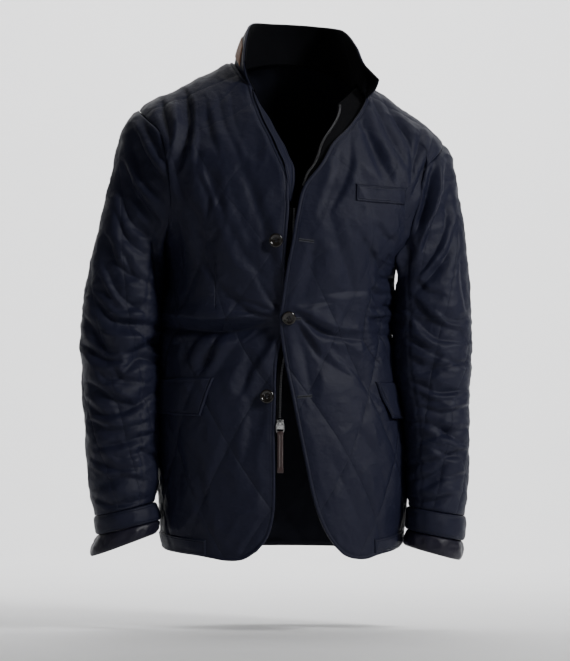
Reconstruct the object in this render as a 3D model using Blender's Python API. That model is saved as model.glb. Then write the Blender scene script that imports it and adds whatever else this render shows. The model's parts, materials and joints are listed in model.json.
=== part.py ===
"""Quilted sport coat, worn and fastened at the middle button. Metres, +Z up, the coat faces -Y.

The body is one smooth form, form(angle, level): angle 0 is the middle of the front, +90 the coat's own left
side, and each level is a ring from the neck down to below the hem. Every piece is cut from that form and
given its own wall, so that pieces that meet share a seam line.
"""

import bmesh
import bpy
import math
import numpy as np
from mathutils import Matrix
from mathutils import Vector
from mathutils.bvhtree import BVHTree

for old in list(bpy.data.objects):
    bpy.data.objects.remove(old, do_unlink=True)

WALL = 0.0045  # padded cloth
SEAM = 0.0002  # each side of a seam draws back by this much
QUILT = 0.0022  # height of a quilted pad above its stitch lines
QUILT_ACROSS = 0.100
QUILT_DOWN = 0.190
LAP = 0.0078  # how far the left front stands out over the right one
ON_PANEL = 0.0009  # clearance of a piece that lies on a panel
BACK_TO_BACK = 0.0030  # space between sleeve and body below the arm
ARMHOLE_GAP = 0.0008  # the sleeve's first ring stands off the armhole by this much

# One row for each ring of the body, outside sizes.
# z_front, z_side, z_back, lean, centre_x, centre_y, half_width, depth_front, depth_back, squareness
BODY = np.array(
    [
        (-0.060, 0.0100, 0.030, 0.0120, 0.0080, 0.012, 0.0940, 0.088, 0.078, 2.0),
        (-0.100, -0.0195, -0.005, 0.0135, 0.0000, 0.008, 0.1570, 0.118, 0.105, 2.1),
        (-0.140, -0.0728, -0.062, 0.0248, 0.0000, 0.004, 0.2300, 0.135, 0.125, 2.3),
        (-0.185, -0.1500, -0.145, 0.0180, -0.0030, 0.002, 0.2220, 0.143, 0.135, 2.4),
        (-0.235, -0.2280, -0.225, 0.0100, -0.0060, 0.000, 0.1950, 0.147, 0.139, 2.4),
        (-0.288, -0.2850, -0.285, 0.0000, -0.0130, 0.000, 0.1730, 0.144, 0.135, 2.3),
        (-0.345, -0.3450, -0.345, 0.0000, -0.0188, 0.000, 0.1738, 0.133, 0.122, 2.3),
        (-0.405, -0.4050, -0.405, 0.0000, -0.0218, 0.000, 0.1753, 0.126, 0.114, 2.3),
        (-0.475, -0.4750, -0.475, 0.0000, -0.0183, 0.000, 0.1808, 0.130, 0.125, 2.3),
        (-0.560, -0.5600, -0.560, 0.0000, -0.0130, 0.000, 0.1865, 0.137, 0.140, 2.3),
        (-0.640, -0.6400, -0.640, 0.0000, -0.0105, 0.000, 0.1860, 0.139, 0.144, 2.3),
        (-0.715, -0.7150, -0.715, 0.0000, -0.0123, 0.000, 0.1788, 0.140, 0.144, 2.3),
        (-0.790, -0.7900, -0.790, 0.0000, -0.0123, 0.000, 0.1765, 0.140, 0.143, 2.3),
    ]
)

# Edges of the fronts as seen from the front, x and z.
RIGHT_EDGE = [
    (-0.0585, -0.0170),
    (-0.0360, -0.0765),
    (-0.0150, -0.1230),
    (-0.0030, -0.1725),
    (-0.0045, -0.2475),
    (-0.0060, -0.3200),
    (0.0020, -0.3630),
    (-0.0100, -0.3950),
    (-0.0190, -0.4300),
    (-0.0210, -0.4875),
    (-0.0225, -0.5475),
    (-0.0225, -0.6400),
    (-0.0265, -0.6720),
    (-0.0375, -0.7000),
    (-0.0495, -0.7125),
]
RIGHT_HEM = [(-0.0495, -0.7125), (-0.0620, -0.7220), (-0.0810, -0.7265), (-0.1065, -0.7260), (-0.1380, -0.7200)]
RIGHT_HEM_SIDE_Z = -0.712
LEFT_EDGE = [
    (0.1145, -0.0330),
    (0.0750, -0.0915),
    (0.0480, -0.1290),
    (0.0165, -0.1725),
    (0.0105, -0.1965),
    (0.0000, -0.2625),
    (-0.0105, -0.3225),
    (-0.0165, -0.3645),
    (-0.0135, -0.3975),
    (-0.0045, -0.4500),
    (0.0015, -0.4785),
    (0.0165, -0.5535),
    (0.0315, -0.6255),
    (0.0435, -0.6650),
    (0.0555, -0.6900),
    (0.0660, -0.7050),
]
LEFT_HEM = [(0.0660, -0.7050), (0.0780, -0.7170), (0.0960, -0.7240), (0.1140, -0.7250), (0.1350, -0.7190)]
LEFT_HEM_SIDE_Z = -0.708
BACK_HEM_Z = -0.716
EDGE_BELOW = 0.045  # a panel's row that meets the underarm starts this much lower at the front edge
RIGHT_ARMHOLE = [(-0.1995, -0.0810), (-0.1860, -0.1140), (-0.1785, -0.1695), (-0.1780, -0.2050)]
RIGHT_UNDERARM_Z = -0.247
LEFT_ARMHOLE = [(0.2055, -0.1365), (0.1980, -0.1590), (0.1815, -0.2250), (0.1700, -0.2560)]
LEFT_UNDERARM_Z = -0.285

# One row for each ring of a sleeve: where its outer and inner side are seen from the front, and its depth.
# outer_x, outer_z, inner_x, inner_z, centre_y, half_depth
RIGHT_SLEEVE = np.array(
    [
        (-0.2300, -0.048, -0.1950, -0.247, 0.002, 0.060),
        (-0.2470, -0.068, -0.1930, -0.262, -0.002, 0.060),
        (-0.2595, -0.100, -0.1910, -0.276, -0.006, 0.060),
        (-0.2680, -0.140, -0.1910, -0.292, -0.010, 0.060),
        (-0.2800, -0.185, -0.1925, -0.312, -0.015, 0.060),
        (-0.2910, -0.232, -0.1950, -0.337, -0.020, 0.060),
        (-0.3015, -0.283, -0.1970, -0.362, -0.024, 0.060),
        (-0.3105, -0.336, -0.1990, -0.392, -0.028, 0.060),
        (-0.3160, -0.395, -0.2005, -0.428, -0.032, 0.059),
        (-0.3135, -0.450, -0.2015, -0.470, -0.035, 0.058),
        (-0.3105, -0.505, -0.2020, -0.515, -0.038, 0.057),
        (-0.3070, -0.560, -0.2025, -0.560, -0.042, 0.056),
        (-0.3025, -0.612, -0.2020, -0.603, -0.045, 0.054),
        (-0.2950, -0.662, -0.2030, -0.641, -0.048, 0.052),
        (-0.2920, -0.690, -0.1960, -0.668, -0.050, 0.052),
        (-0.3030, -0.722, -0.2015, -0.690, -0.051, 0.053),
    ]
)
LEFT_SLEEVE = np.array(
    [
        (0.2300, -0.0975, 0.1600, -0.285, 0.004, 0.060),
        (0.2430, -0.118, 0.1630, -0.298, 0.002, 0.060),
        (0.2510, -0.155, 0.1620, -0.312, 0.000, 0.060),
        (0.2580, -0.200, 0.1605, -0.328, -0.003, 0.059),
        (0.2655, -0.250, 0.1590, -0.346, -0.006, 0.058),
        (0.2720, -0.305, 0.1580, -0.368, -0.010, 0.057),
        (0.2730, -0.360, 0.1580, -0.398, -0.014, 0.057),
        (0.2745, -0.418, 0.1590, -0.438, -0.018, 0.056),
        (0.2720, -0.475, 0.1690, -0.485, -0.022, 0.056),
        (0.2705, -0.530, 0.1768, -0.535, -0.026, 0.055),
        (0.2690, -0.585, 0.1790, -0.585, -0.029, 0.054),
        (0.2665, -0.630, 0.1795, -0.625, -0.032, 0.052),
        (0.2645, -0.662, 0.1780, -0.648, -0.034, 0.050),
        (0.2620, -0.700, 0.1755, -0.682, -0.035, 0.050),
        (0.2590, -0.730, 0.1700, -0.706, -0.036, 0.050),
    ]
)
SEAM_FREE = 0.0032  # the sleeve's seams stand this much further apart at the armhole
CUFF_PROUD = 0.0012
INNER_CUFF_IN = 0.0020
INNER_CUFF_WALL = 0.0030

# The collar's top edge. angle of the foot, then x, y, z of the top edge.
COLLAR = np.array(
    [
        (-47.0, -0.0690, -0.0640, 0.0225),
        (-60.0, -0.0660, -0.0330, 0.0540),
        (-75.0, -0.0620, -0.0050, 0.0740),
        (-90.0, -0.0585, 0.0200, 0.0825),
        (-120.0, -0.0500, 0.0620, 0.0880),
        (-150.0, -0.0250, 0.0960, 0.0890),
        (-180.0, 0.0080, 0.1080, 0.0880),
        (-210.0, 0.0410, 0.0980, 0.0850),
        (-240.0, 0.0670, 0.0700, 0.0800),
        (-270.0, 0.0830, 0.0300, 0.0720),
        (-283.0, 0.0985, -0.0020, 0.0500),
        (-292.0, 0.1100, -0.0260, 0.0230),
        (-298.0, 0.1340, -0.0480, -0.0040),
    ]
)
COLLAR_OFF = 0.0009
COLLAR_OUTER = 0.0024
COLLAR_END_LIFT = 0.0090  # its left end stands this much further off the front below it
COLLAR_INNER = 0.0020

# The largest folds, as troughs seen from the front: depth and width, then x and z of three points, millimetres.
RIGHT_FRONT_FOLDS = [
    (6.0, 17, -21, -369, -92, -386, -190, -378),
    (3.5, 15, -21, -376, -72, -393, -122, -460),
    (4.5, 15, -157, -28, -151, -77, -165, -144),
    (3.0, 18, -76, -128, -49, -204, -24, -283),
]
LEFT_FRONT_FOLDS = [
    (3.5, 16, 30, -370, 70, -390, 130, -398),
    (4.0, 15, 124, -28, 155, -96, 181, -144),
]
BACK_FOLDS = [
    (5.0, 17, -160, -352, -80, -362, 0, -352),
    (4.0, 16, 155, -366, 90, -372, 10, -364),
]
RIGHT_SLEEVE_FOLDS = [
    (4.5, 15, -236, -75, -219, -123, -191, -156),
    (4.5, 16, -297, -330, -263, -369, -197, -376),
    (3.5, 15, -283, -510, -240, -502, -203, -474),
    (3.5, 15, -291, -560, -255, -552, -208, -538),
]
LEFT_SLEEVE_FOLDS = [
    (4.5, 15, 219, -108, 212, -172, 191, -232),
    (4.0, 16, 187, -333, 214, -368, 263, -386),
    (3.5, 15, 185, -459, 224, -476, 270, -471),
    (3.5, 15, 185, -520, 218, -527, 263, -553),
]

# Number of cells along each side of a panel.
NECK_CELLS = 4
SHOULDER_CELLS = 9
ARMHOLE_CELLS = 10
SIDE_CELLS = 18
BACK_NECK_CELLS = 10
TOP_BLEND = 5  # rows over which a panel bends from its top edge to straight rows
HEM_BLEND = 4
SEAM_CELL = 7  # the sleeve's seams lie this many cells from the shoulder
SLEEVE_CELLS = 24
COLLAR_ROWS = 6


def spline(table, where):
    """Rows of a table joined by a smooth curve; where counts rows."""
    table = np.asarray(table, dtype=float)
    where = np.atleast_1d(np.asarray(where, dtype=float))
    last = len(table) - 1
    low = np.clip(np.floor(where).astype(int), 0, last - 1)
    f = (where - low)[:, None]
    before = np.where((low > 0)[:, None], table[np.maximum(low - 1, 0)], 2 * table[low] - table[low + 1])
    far = np.minimum(low + 2, last)
    after = np.where((low < last - 1)[:, None], table[far], 2 * table[low + 1] - table[low])
    here = table[low]
    there = table[low + 1]
    slope_here = (there - before) / 2
    slope_there = (after - here) / 2
    h1 = 2 * f**3 - 3 * f**2 + 1
    h2 = f**3 - 2 * f**2 + f
    h3 = 3 * f**2 - 2 * f**3
    h4 = f**3 - f**2
    return h1 * here + h2 * slope_here + h3 * there + h4 * slope_there


def signed_power(value, power):
    return np.sign(value) * np.abs(value) ** power


def form(angle, level):
    """Points of the body form, outside, for arrays of angles in degrees and levels."""
    angle = np.radians(np.atleast_1d(np.asarray(angle, dtype=float)))
    row = spline(BODY, np.broadcast_to(level, angle.shape))
    z_front, z_side, z_back, lean, centre_x, centre_y, half_width, depth_front, depth_back, squareness = row.T
    power = 2 / squareness
    sine = np.sin(angle)
    cosine = np.cos(angle)
    depth = np.where(cosine > 0, depth_front, depth_back)
    x = centre_x + half_width * signed_power(sine, power)
    y = centre_y - depth * signed_power(cosine, power)
    toward_front = np.maximum(cosine, 0) ** 2
    toward_back = np.maximum(-cosine, 0) ** 2
    z = z_side + (z_front - z_side) * toward_front + (z_back - z_side) * toward_back - lean * sine
    return np.stack([x, y, z], axis=1)


def unit(vectors):
    return vectors / np.maximum(np.linalg.norm(vectors, axis=-1, keepdims=True), 1e-12)


def form_normal(angle, level):
    angle = np.atleast_1d(np.asarray(angle, dtype=float))
    level = np.broadcast_to(np.asarray(level, dtype=float), angle.shape)
    around = form(angle + 2.0, level) - form(angle - 2.0, level)
    down = form(angle, level + 0.05) - form(angle, level - 0.05)
    return unit(np.cross(down, around))


def place(x, z):
    """The angle and level of the front that is seen at x, z."""
    best = None
    for start in np.arange(0.0, 12.0, 0.5):
        row = spline(BODY, [start])[0]
        sine = np.clip((x - row[4]) / row[6], -0.97, 0.97)
        guess = math.degrees(math.asin(sine))
        point = form([guess], start)[0]
        miss = abs(point[0] - x) + abs(point[2] - z)
        if best is None or miss < best[0]:
            best = (miss, guess, start)
    angle = best[1]
    level = best[2]
    for step in range(30):
        here = form([angle], level)[0]
        error = np.array([x - here[0], z - here[2]])
        if np.abs(error).max() < 1e-7:
            break
        by_angle = (form([angle + 0.05], level)[0] - here) / 0.05
        by_level = (form([angle], level + 0.01)[0] - here) / 0.01
        matrix = np.array([[by_angle[0], by_level[0]], [by_angle[2], by_level[2]]])
        change = np.linalg.lstsq(matrix, error, rcond=None)[0]
        angle += float(np.clip(change[0], -6, 6))
        level += float(np.clip(change[1], -0.4, 0.4))
        angle = float(np.clip(angle, -92, 92))
        level = float(np.clip(level, 0.0, 12.0))
    return angle, level


def level_at(angle, z):
    """The level at which the form at this angle has height z."""
    low = 0.0
    high = 12.0
    for step in range(50):
        middle = (low + high) / 2
        if form([angle], middle)[0][2] > z:
            low = middle
        else:
            high = middle
    return (low + high) / 2


def trace(nodes, cells, first_cells=0, split_z=0.0):
    """A smooth line on the form through (angle, level) nodes, cut evenly into cells.

    With first_cells, that many cells lie above the height split_z and the rest below it.
    """
    where = np.linspace(0, len(nodes) - 1, 40 * (len(nodes) - 1) + 1)
    fine = spline(nodes, where)
    points = form(fine[:, 0], fine[:, 1])
    steps = np.linalg.norm(np.diff(points, axis=0), axis=1)
    length = np.concatenate([[0], np.cumsum(steps)])
    wanted = np.linspace(0, length[-1], cells + 1)
    if first_cells:
        split = np.interp(-split_z, -points[:, 2], length)
        upper = np.linspace(0, split, first_cells + 1)
        wanted = np.concatenate([upper, np.linspace(split, length[-1], cells - first_cells + 1)[1:]])
    angle = np.interp(wanted, length, fine[:, 0])
    level = np.interp(wanted, length, fine[:, 1])
    return np.stack([angle, level], axis=1)


def join(first, second):
    return np.concatenate([first, second[1:]])


def patch(top, hem, inner, outer):
    """A grid of (angle, level): straight rows from inner to outer, bent to the top and hem near them."""
    columns = len(top) - 1
    rows = len(inner) - 1
    s = np.linspace(0, 1, columns + 1)[:, None, None]
    grid = (1 - s) * inner[None, :, :] + s * outer[None, :, :]
    row = np.arange(rows + 1)[None, :, None]
    near_top = np.clip(1 - row / TOP_BLEND, 0, 1) ** 3
    near_hem = np.clip(1 - (rows - row) / HEM_BLEND, 0, 1) ** 2
    top_bend = top[:, None, :] - grid[:, :1]
    hem_bend = hem[:, None, :] - grid[:, -1:]
    return grid + near_top * top_bend + near_hem * hem_bend


def at_grid(function, grid):
    flat = grid.reshape(-1, 2)
    return function(flat[:, 0], flat[:, 1]).reshape(grid.shape[0], grid.shape[1], 3)


def drawn_back(points, gap):
    """Moves the four sides of a grid of points inward, in the surface, by the gap."""
    moved = points.copy()
    moved[0] += gap * unit(points[1] - points[0])
    moved[-1] += gap * unit(points[-2] - points[-1])
    moved[:, 0] += gap * unit(points[:, 1] - points[:, 0])
    moved[:, -1] += gap * unit(points[:, -2] - points[:, -1])
    return moved


def pads(grid, height):
    """Height of the quilted pads, nothing at the panel's edges."""
    across = np.radians(grid[..., 0]) * 0.160 / QUILT_ACROSS
    down = form(grid[..., 0].ravel(), grid[..., 1].ravel())[:, 2].reshape(across.shape) / QUILT_DOWN
    one = np.abs(np.sin(math.pi * (across + down)))
    two = np.abs(np.sin(math.pi * (across - down)))
    rise = height * np.sqrt(one * two)
    wide = np.pad(rise, 1, mode="edge")
    rise = (2 * rise + wide[:-2, 1:-1] + wide[2:, 1:-1] + wide[1:-1, :-2] + wide[1:-1, 2:]) / 6
    rise[0] = 0
    rise[-1] = 0
    rise[:, 0] = 0
    rise[:, -1] = 0
    return rise


def folded(points, folds):
    """How deep the folds are at points, by the distance of each point from a fold's line."""
    flat = points.reshape(-1, 3)[:, [0, 2]]
    depth = np.zeros(len(flat))
    for deep, wide, *line in folds:
        path = spline(np.array(line).reshape(3, 2) / 1000, np.linspace(0, 2, 13))
        far = np.linalg.norm(flat[:, None, :] - path[None], axis=2)
        share = far.argmin(axis=1) / (len(path) - 1)
        trough = np.exp(-((far.min(axis=1) * 1000 / wide) ** 2))
        depth += deep / 1000 * trough * np.sin(math.pi * np.clip(share, 0.15, 0.85)) ** 0.5
    return depth.reshape(points.shape[:-1])


def material(name, color, roughness, metallic=0.0):
    made = bpy.data.materials.new(name)
    made.use_nodes = True
    shader = made.node_tree.nodes["Principled BSDF"]
    shader.inputs["Base Color"].default_value = (*color, 1.0)
    shader.inputs["Roughness"].default_value = roughness
    shader.inputs["Metallic"].default_value = metallic
    return made


COAT_CLOTH = material("coat_cloth", (0.016, 0.021, 0.043), 0.62)
CUFF_LINING = material("cuff_lining", (0.030, 0.029, 0.055), 0.38)
BLACK_PILE = material("black_pile", (0.006, 0.006, 0.008), 0.95)
BLACK_TAPE = material("black_tape", (0.008, 0.008, 0.009), 0.80)
TAN_SUEDE = material("tan_suede", (0.190, 0.085, 0.032), 0.90)
BRAIDED_LEATHER = material("braided_leather", (0.060, 0.035, 0.036), 0.55)
BRIGHT_METAL = material("bright_metal", (0.620, 0.620, 0.610), 0.25, 1.0)
DARK_TEETH = material("dark_teeth", (0.180, 0.180, 0.185), 0.35, 1.0)
DARK_HORN = material("dark_horn", (0.030, 0.022, 0.016), 0.25)


def finish(name, bm, surface, origin=(0, 0, 0)):
    """Makes the named object from a bmesh, its origin at the point given."""
    bmesh.ops.recalc_face_normals(bm, faces=bm.faces[:])
    bmesh.ops.translate(bm, verts=bm.verts[:], vec=-Vector(origin))
    mesh = bpy.data.meshes.new(name)
    bm.to_mesh(mesh)
    bm.free()
    mesh.materials.append(surface)
    made = bpy.data.objects.new(name, mesh)
    made.location = origin
    bpy.context.scene.collection.objects.link(made)
    return made


def wall(name, outer, inner, surface, closed=False):
    """A solid between two grids of points; closed joins the first and last column into a ring."""
    columns = outer.shape[0] - 1
    rows = outer.shape[1] - 1
    bm = bmesh.new()
    bmesh.ops.create_grid(bm, x_segments=columns, y_segments=rows, size=0.5)
    column = bm.verts.layers.int.new("column")
    row = bm.verts.layers.int.new("row")
    for vert in bm.verts:
        vert[column] = round((vert.co.x + 0.5) * columns)
        vert[row] = round((vert.co.y + 0.5) * rows)
        vert.co = inner[vert[column], vert[row]]
    if closed:
        bmesh.ops.remove_doubles(bm, verts=bm.verts[:], dist=1e-6)
    lifted = bmesh.ops.extrude_face_region(bm, geom=bm.faces[:], use_keep_orig=True)
    for item in lifted["geom"]:
        if isinstance(item, bmesh.types.BMVert):
            item.co = outer[item[column], item[row]]
    return finish(name, bm, surface)


# The fronts and the back.
def lap_of(angle):
    """How far the left front stands out at an angle: all of the lap at its edge, none at the side."""
    f = np.clip((40.0 - angle) / 30.0, 0, 1)
    return LAP * f * f * (3 - 2 * f)


def armhole_nodes(side, seen, underarm_z):
    """The armhole's front line, from the shoulder to the lowest point under the arm."""
    nodes = [(90.0 * side, 2.0)]
    nodes += [place(x, z) for x, z in seen]
    low = level_at(90.0 * side, underarm_z)
    nodes.append((72.0 * side, low - 0.12))
    nodes.append((90.0 * side, low))
    return nodes


def front_grid(side, edge, hem, hem_side_z, armhole, underarm_z):
    """The (angle, level) grid of a front; side is +1 for the coat's own left."""
    corner = place(*edge[0])
    neck = trace([(90.0 * side, 0.0), (0.5 * (corner[0] + 90.0 * side), 0.25 * corner[1]), corner], NECK_CELLS)
    shoulder = trace([(90.0 * side, 0.0), (90.0 * side, 1.0), (90.0 * side, 2.0)], SHOULDER_CELLS)
    arm = trace(armhole_nodes(side, armhole, underarm_z), ARMHOLE_CELLS)
    low = level_at(90.0 * side, hem_side_z)
    under = arm[-1][1]
    seam = trace([(90.0 * side, under), (90.0 * side, (under + low) / 2), (90.0 * side, low)], SIDE_CELLS)
    edge_line = trace(
        [place(x, z) for x, z in edge],
        ARMHOLE_CELLS + SIDE_CELLS - NECK_CELLS,
        ARMHOLE_CELLS - NECK_CELLS,
        underarm_z - EDGE_BELOW,
    )
    foot = trace([place(x, z) for x, z in hem] + [(90.0 * side, low)], SHOULDER_CELLS)
    grid = patch(shoulder, foot, join(neck, edge_line), join(arm, seam))
    return grid, arm, seam, shoulder


def panel(name, grid, folds, mitres, lap=None):
    """A padded panel; mitres holds (column, vectors): the wall's direction down an armhole."""
    rise = pads(grid, QUILT)
    normal = at_grid(form_normal, grid)
    base = at_grid(form, grid)
    if lap is not None:
        base = base + normal * lap(grid[..., 0])[..., None]
    trough = folded(base, folds)
    trough[0] = 0
    trough[-1] = 0
    trough[:, 0] = 0
    base = base - normal * trough[..., None]
    points = drawn_back(base, SEAM)
    outer = points + normal * rise[..., None]
    inner = points - normal * WALL
    for column, vectors in mitres:
        inner[column, : len(vectors)] = points[column, : len(vectors)] - vectors
    wall(name, outer, inner, COAT_CLOTH)


right_grid, right_arm, right_side, right_shoulder = front_grid(
    -1, RIGHT_EDGE, RIGHT_HEM, RIGHT_HEM_SIDE_Z, RIGHT_ARMHOLE, RIGHT_UNDERARM_Z
)
left_grid, left_arm, left_side, left_shoulder = front_grid(
    1, LEFT_EDGE, LEFT_HEM, LEFT_HEM_SIDE_Z, LEFT_ARMHOLE, LEFT_UNDERARM_Z
)


def behind(line):
    """The same line on the back of the form: angle a becomes 180 - a."""
    return np.stack([180.0 - line[:, 0], line[:, 1]], axis=1)


def ring_normals(points, side):
    """Outward normals of a closed tube of points, columns round it and rows along it."""
    around = np.roll(points, -1, axis=0) - np.roll(points, 1, axis=0)
    along = np.gradient(points, axis=1)
    return unit(np.cross(around, along)) * side


def fade(where, reach):
    f = np.clip(1 - where / reach, 0, 1)
    return (f * f * (3 - 2 * f))[None, :, None]


def oval(table, turns, where):
    """Points round the sleeve: turns in degrees from its outer side toward the front, where in table rows."""
    row = spline(table, where)
    outer = np.stack([row[:, 0], row[:, 4], row[:, 1]], axis=1)
    inner = np.stack([row[:, 2], row[:, 4], row[:, 3]], axis=1)
    middle = (outer + inner) / 2
    reach = (outer - inner) / 2
    turn = np.radians(turns)[:, None, None]
    depth = np.stack([0 * row[:, 5], -row[:, 5], 0 * row[:, 5]], axis=1)
    return middle[None] + np.cos(turn) * reach[None] + np.sin(turn) * depth[None]


def sleeve_ring_places(table, cells):
    """Where along the table rows of cells fall, evenly by the length of the sleeve's middle line."""
    where = np.linspace(0, len(table) - 1, 30 * (len(table) - 1) + 1)
    fine = spline(table, where)
    middle = np.stack([fine[:, 0] + fine[:, 2], 2 * fine[:, 4], fine[:, 1] + fine[:, 3]], axis=1) / 2
    length = np.concatenate([[0], np.cumsum(np.linalg.norm(np.diff(middle, axis=0), axis=1))])
    return np.interp(np.linspace(0, length[-1], cells + 1), length, where)


def sleeve_surface(side, table, arm, last_row, cells):
    """Outer points of a sleeve, its normals, and the wall's direction at the seam for body and sleeve."""
    whole = np.concatenate([arm, behind(arm)[::-1][1:-1]])
    seam_points = form(whole[:, 0], whole[:, 1])
    seam_normal = form_normal(whole[:, 0], whole[:, 1])
    count = len(whole)
    turns = np.arange(count) * 360.0 / count
    where = sleeve_ring_places(table[: last_row + 1], cells)
    plain = oval(table, turns, where)
    start = oval(table, turns, np.array([0.0]))
    points = plain + fade(where, 3.2) * (seam_points[:, None, :] - start)
    normal = ring_normals(points, side)
    normal[:, 0] = unit(normal[:, 1] + 0.5 * normal[:, 2])
    along_seam = np.roll(seam_points, -1, axis=0) - np.roll(seam_points, 1, axis=0)
    away = unit(np.cross(seam_normal, along_seam)) * side
    ridge = (normal[:, 0] * away).sum(axis=1) > 0
    agree = (normal[:, 0] * seam_normal).sum(axis=1)
    mitre = WALL * (normal[:, 0] + seam_normal) / np.maximum(1 + agree, 0.5)[:, None]
    mitred = (ridge & (agree > -0.4))[:, None]
    body_way = np.where(mitred, mitre, WALL * seam_normal)
    sleeve_way = np.where(mitred, mitre, WALL * normal[:, 0])
    shift = away * ARMHOLE_GAP + seam_normal * (BACK_TO_BACK * np.maximum(0, -agree))[:, None]
    points = points + fade(where, 1.6) * shift[:, None, :]
    return points, normal, body_way, sleeve_way


right_sleeve_parts = sleeve_surface(-1, RIGHT_SLEEVE, right_arm, len(RIGHT_SLEEVE) - 3, SLEEVE_CELLS)
left_sleeve_parts = sleeve_surface(1, LEFT_SLEEVE, left_arm, len(LEFT_SLEEVE) - 3, SLEEVE_CELLS)


def front_way(parts):
    """The body wall's direction down the front half of an armhole."""
    return parts[2][: ARMHOLE_CELLS + 1]


def back_way(parts):
    """The same down the back half."""
    ways = parts[2]
    return np.concatenate([ways[:1], ways[ARMHOLE_CELLS:][::-1]])


panel("right_front", right_grid, RIGHT_FRONT_FOLDS, [(-1, front_way(right_sleeve_parts))])
panel("left_front", left_grid, LEFT_FRONT_FOLDS, [(-1, front_way(left_sleeve_parts))], lap_of)

back_neck = trace([(270.0, 0.0), (225.0, 0.0), (180.0, 0.0), (135.0, 0.0), (90.0, 0.0)], BACK_NECK_CELLS)
back_top = join(join(behind(right_shoulder)[::-1], back_neck), behind(left_shoulder))
back_hem = trace(
    [(270.0, right_side[-1][1]), (225.0, level_at(225, BACK_HEM_Z)), (180.0, level_at(180, BACK_HEM_Z)),
     (135.0, level_at(135, BACK_HEM_Z)), (90.0, left_side[-1][1])],
    BACK_NECK_CELLS + 2 * SHOULDER_CELLS,
)
back_grid = patch(
    back_top, back_hem, join(behind(right_arm), behind(right_side)), join(behind(left_arm), behind(left_side))
)
panel("back", back_grid, BACK_FOLDS, [(0, back_way(right_sleeve_parts)), (-1, back_way(left_sleeve_parts))])


# The sleeves.
def sleeve(side, prefix, table, parts, folds):
    cuff_row = len(table) - 3
    points, normal, body_way, sleeve_way = parts
    front = np.clip(-1.5 * normal[..., 1], 0, 1)
    ends = np.minimum(np.arange(points.shape[1]), SLEEVE_CELLS - np.arange(points.shape[1]))
    points = points - normal * (folded(points, folds) * front * np.minimum(ends / 2, 1))[..., None]
    count = points.shape[0]
    turns = np.arange(count)[:, None] / count
    lengths = np.arange(points.shape[1])[None, :] / SLEEVE_CELLS
    rise = QUILT * np.abs(np.sin(math.pi * (4 * turns + 3 * lengths)) * np.sin(math.pi * (4 * turns - 3 * lengths)))
    rise = rise * np.minimum(1, 8 * lengths) * np.minimum(1, 8 * (1 - lengths))
    pieces = (
        ("top_sleeve", range(count - SEAM_CELL, count + SEAM_CELL + 1)),
        ("under_sleeve", range(SEAM_CELL, count - SEAM_CELL + 1)),
    )
    for name, columns in pieces:
        pick = [c % count for c in columns]
        lift = rise[pick].copy()
        lift[0] = 0
        lift[-1] = 0
        surface = drawn_back(points[pick], SEAM)
        surface[:, 0] = points[pick][:, 0]
        surface[0, 0] += SEAM * unit(points[pick[1], 0] - points[pick[0], 0])
        surface[-1, 0] += SEAM * unit(points[pick[-2], 0] - points[pick[-1], 0])
        free = SEAM_FREE * fade(np.arange(points.shape[1]), 4.0)[0]
        surface[0] += free * unit(points[pick[1]] - points[pick[0]])
        surface[-1] += free * unit(points[pick[-2]] - points[pick[-1]])
        outer = surface + normal[pick] * lift[..., None]
        inner = surface - normal[pick] * WALL
        inner[:, 0] = surface[:, 0] - sleeve_way[pick]
        wall(prefix + name, outer, inner, COAT_CLOTH)
    turns = np.arange(count + 1) * 360.0 / count
    both = oval(table, turns, cuff_row + np.linspace(0, 2, 5))
    both_normal = ring_normals(both[:-1], side)
    both_normal = np.concatenate([both_normal, both_normal[:1]])
    bands = (
        ("cuff_band", slice(0, 3), CUFF_PROUD, WALL + CUFF_PROUD, COAT_CLOTH),
        ("inner_cuff", slice(2, 5), -INNER_CUFF_IN, INNER_CUFF_WALL, CUFF_LINING),
    )
    for name, rows, out, thick, cloth in bands:
        ring = both[:, rows].copy()
        ring_normal = both_normal[:, rows]
        ring[:, 0] += SEAM * unit(ring[:, 1] - ring[:, 0])
        ring[:, -1] += SEAM * unit(ring[:, -2] - ring[:, -1])
        bulge = np.array([0.0, 0.0008, 0.0])[None, :, None]
        outer = ring + ring_normal * (out + bulge)
        inner = ring + ring_normal * (out - thick)
        wall(prefix + name, outer, inner, cloth, closed=True)


sleeve(-1, "right_", RIGHT_SLEEVE, right_sleeve_parts, RIGHT_SLEEVE_FOLDS)
sleeve(1, "left_", LEFT_SLEEVE, left_sleeve_parts, LEFT_SLEEVE_FOLDS)


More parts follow.
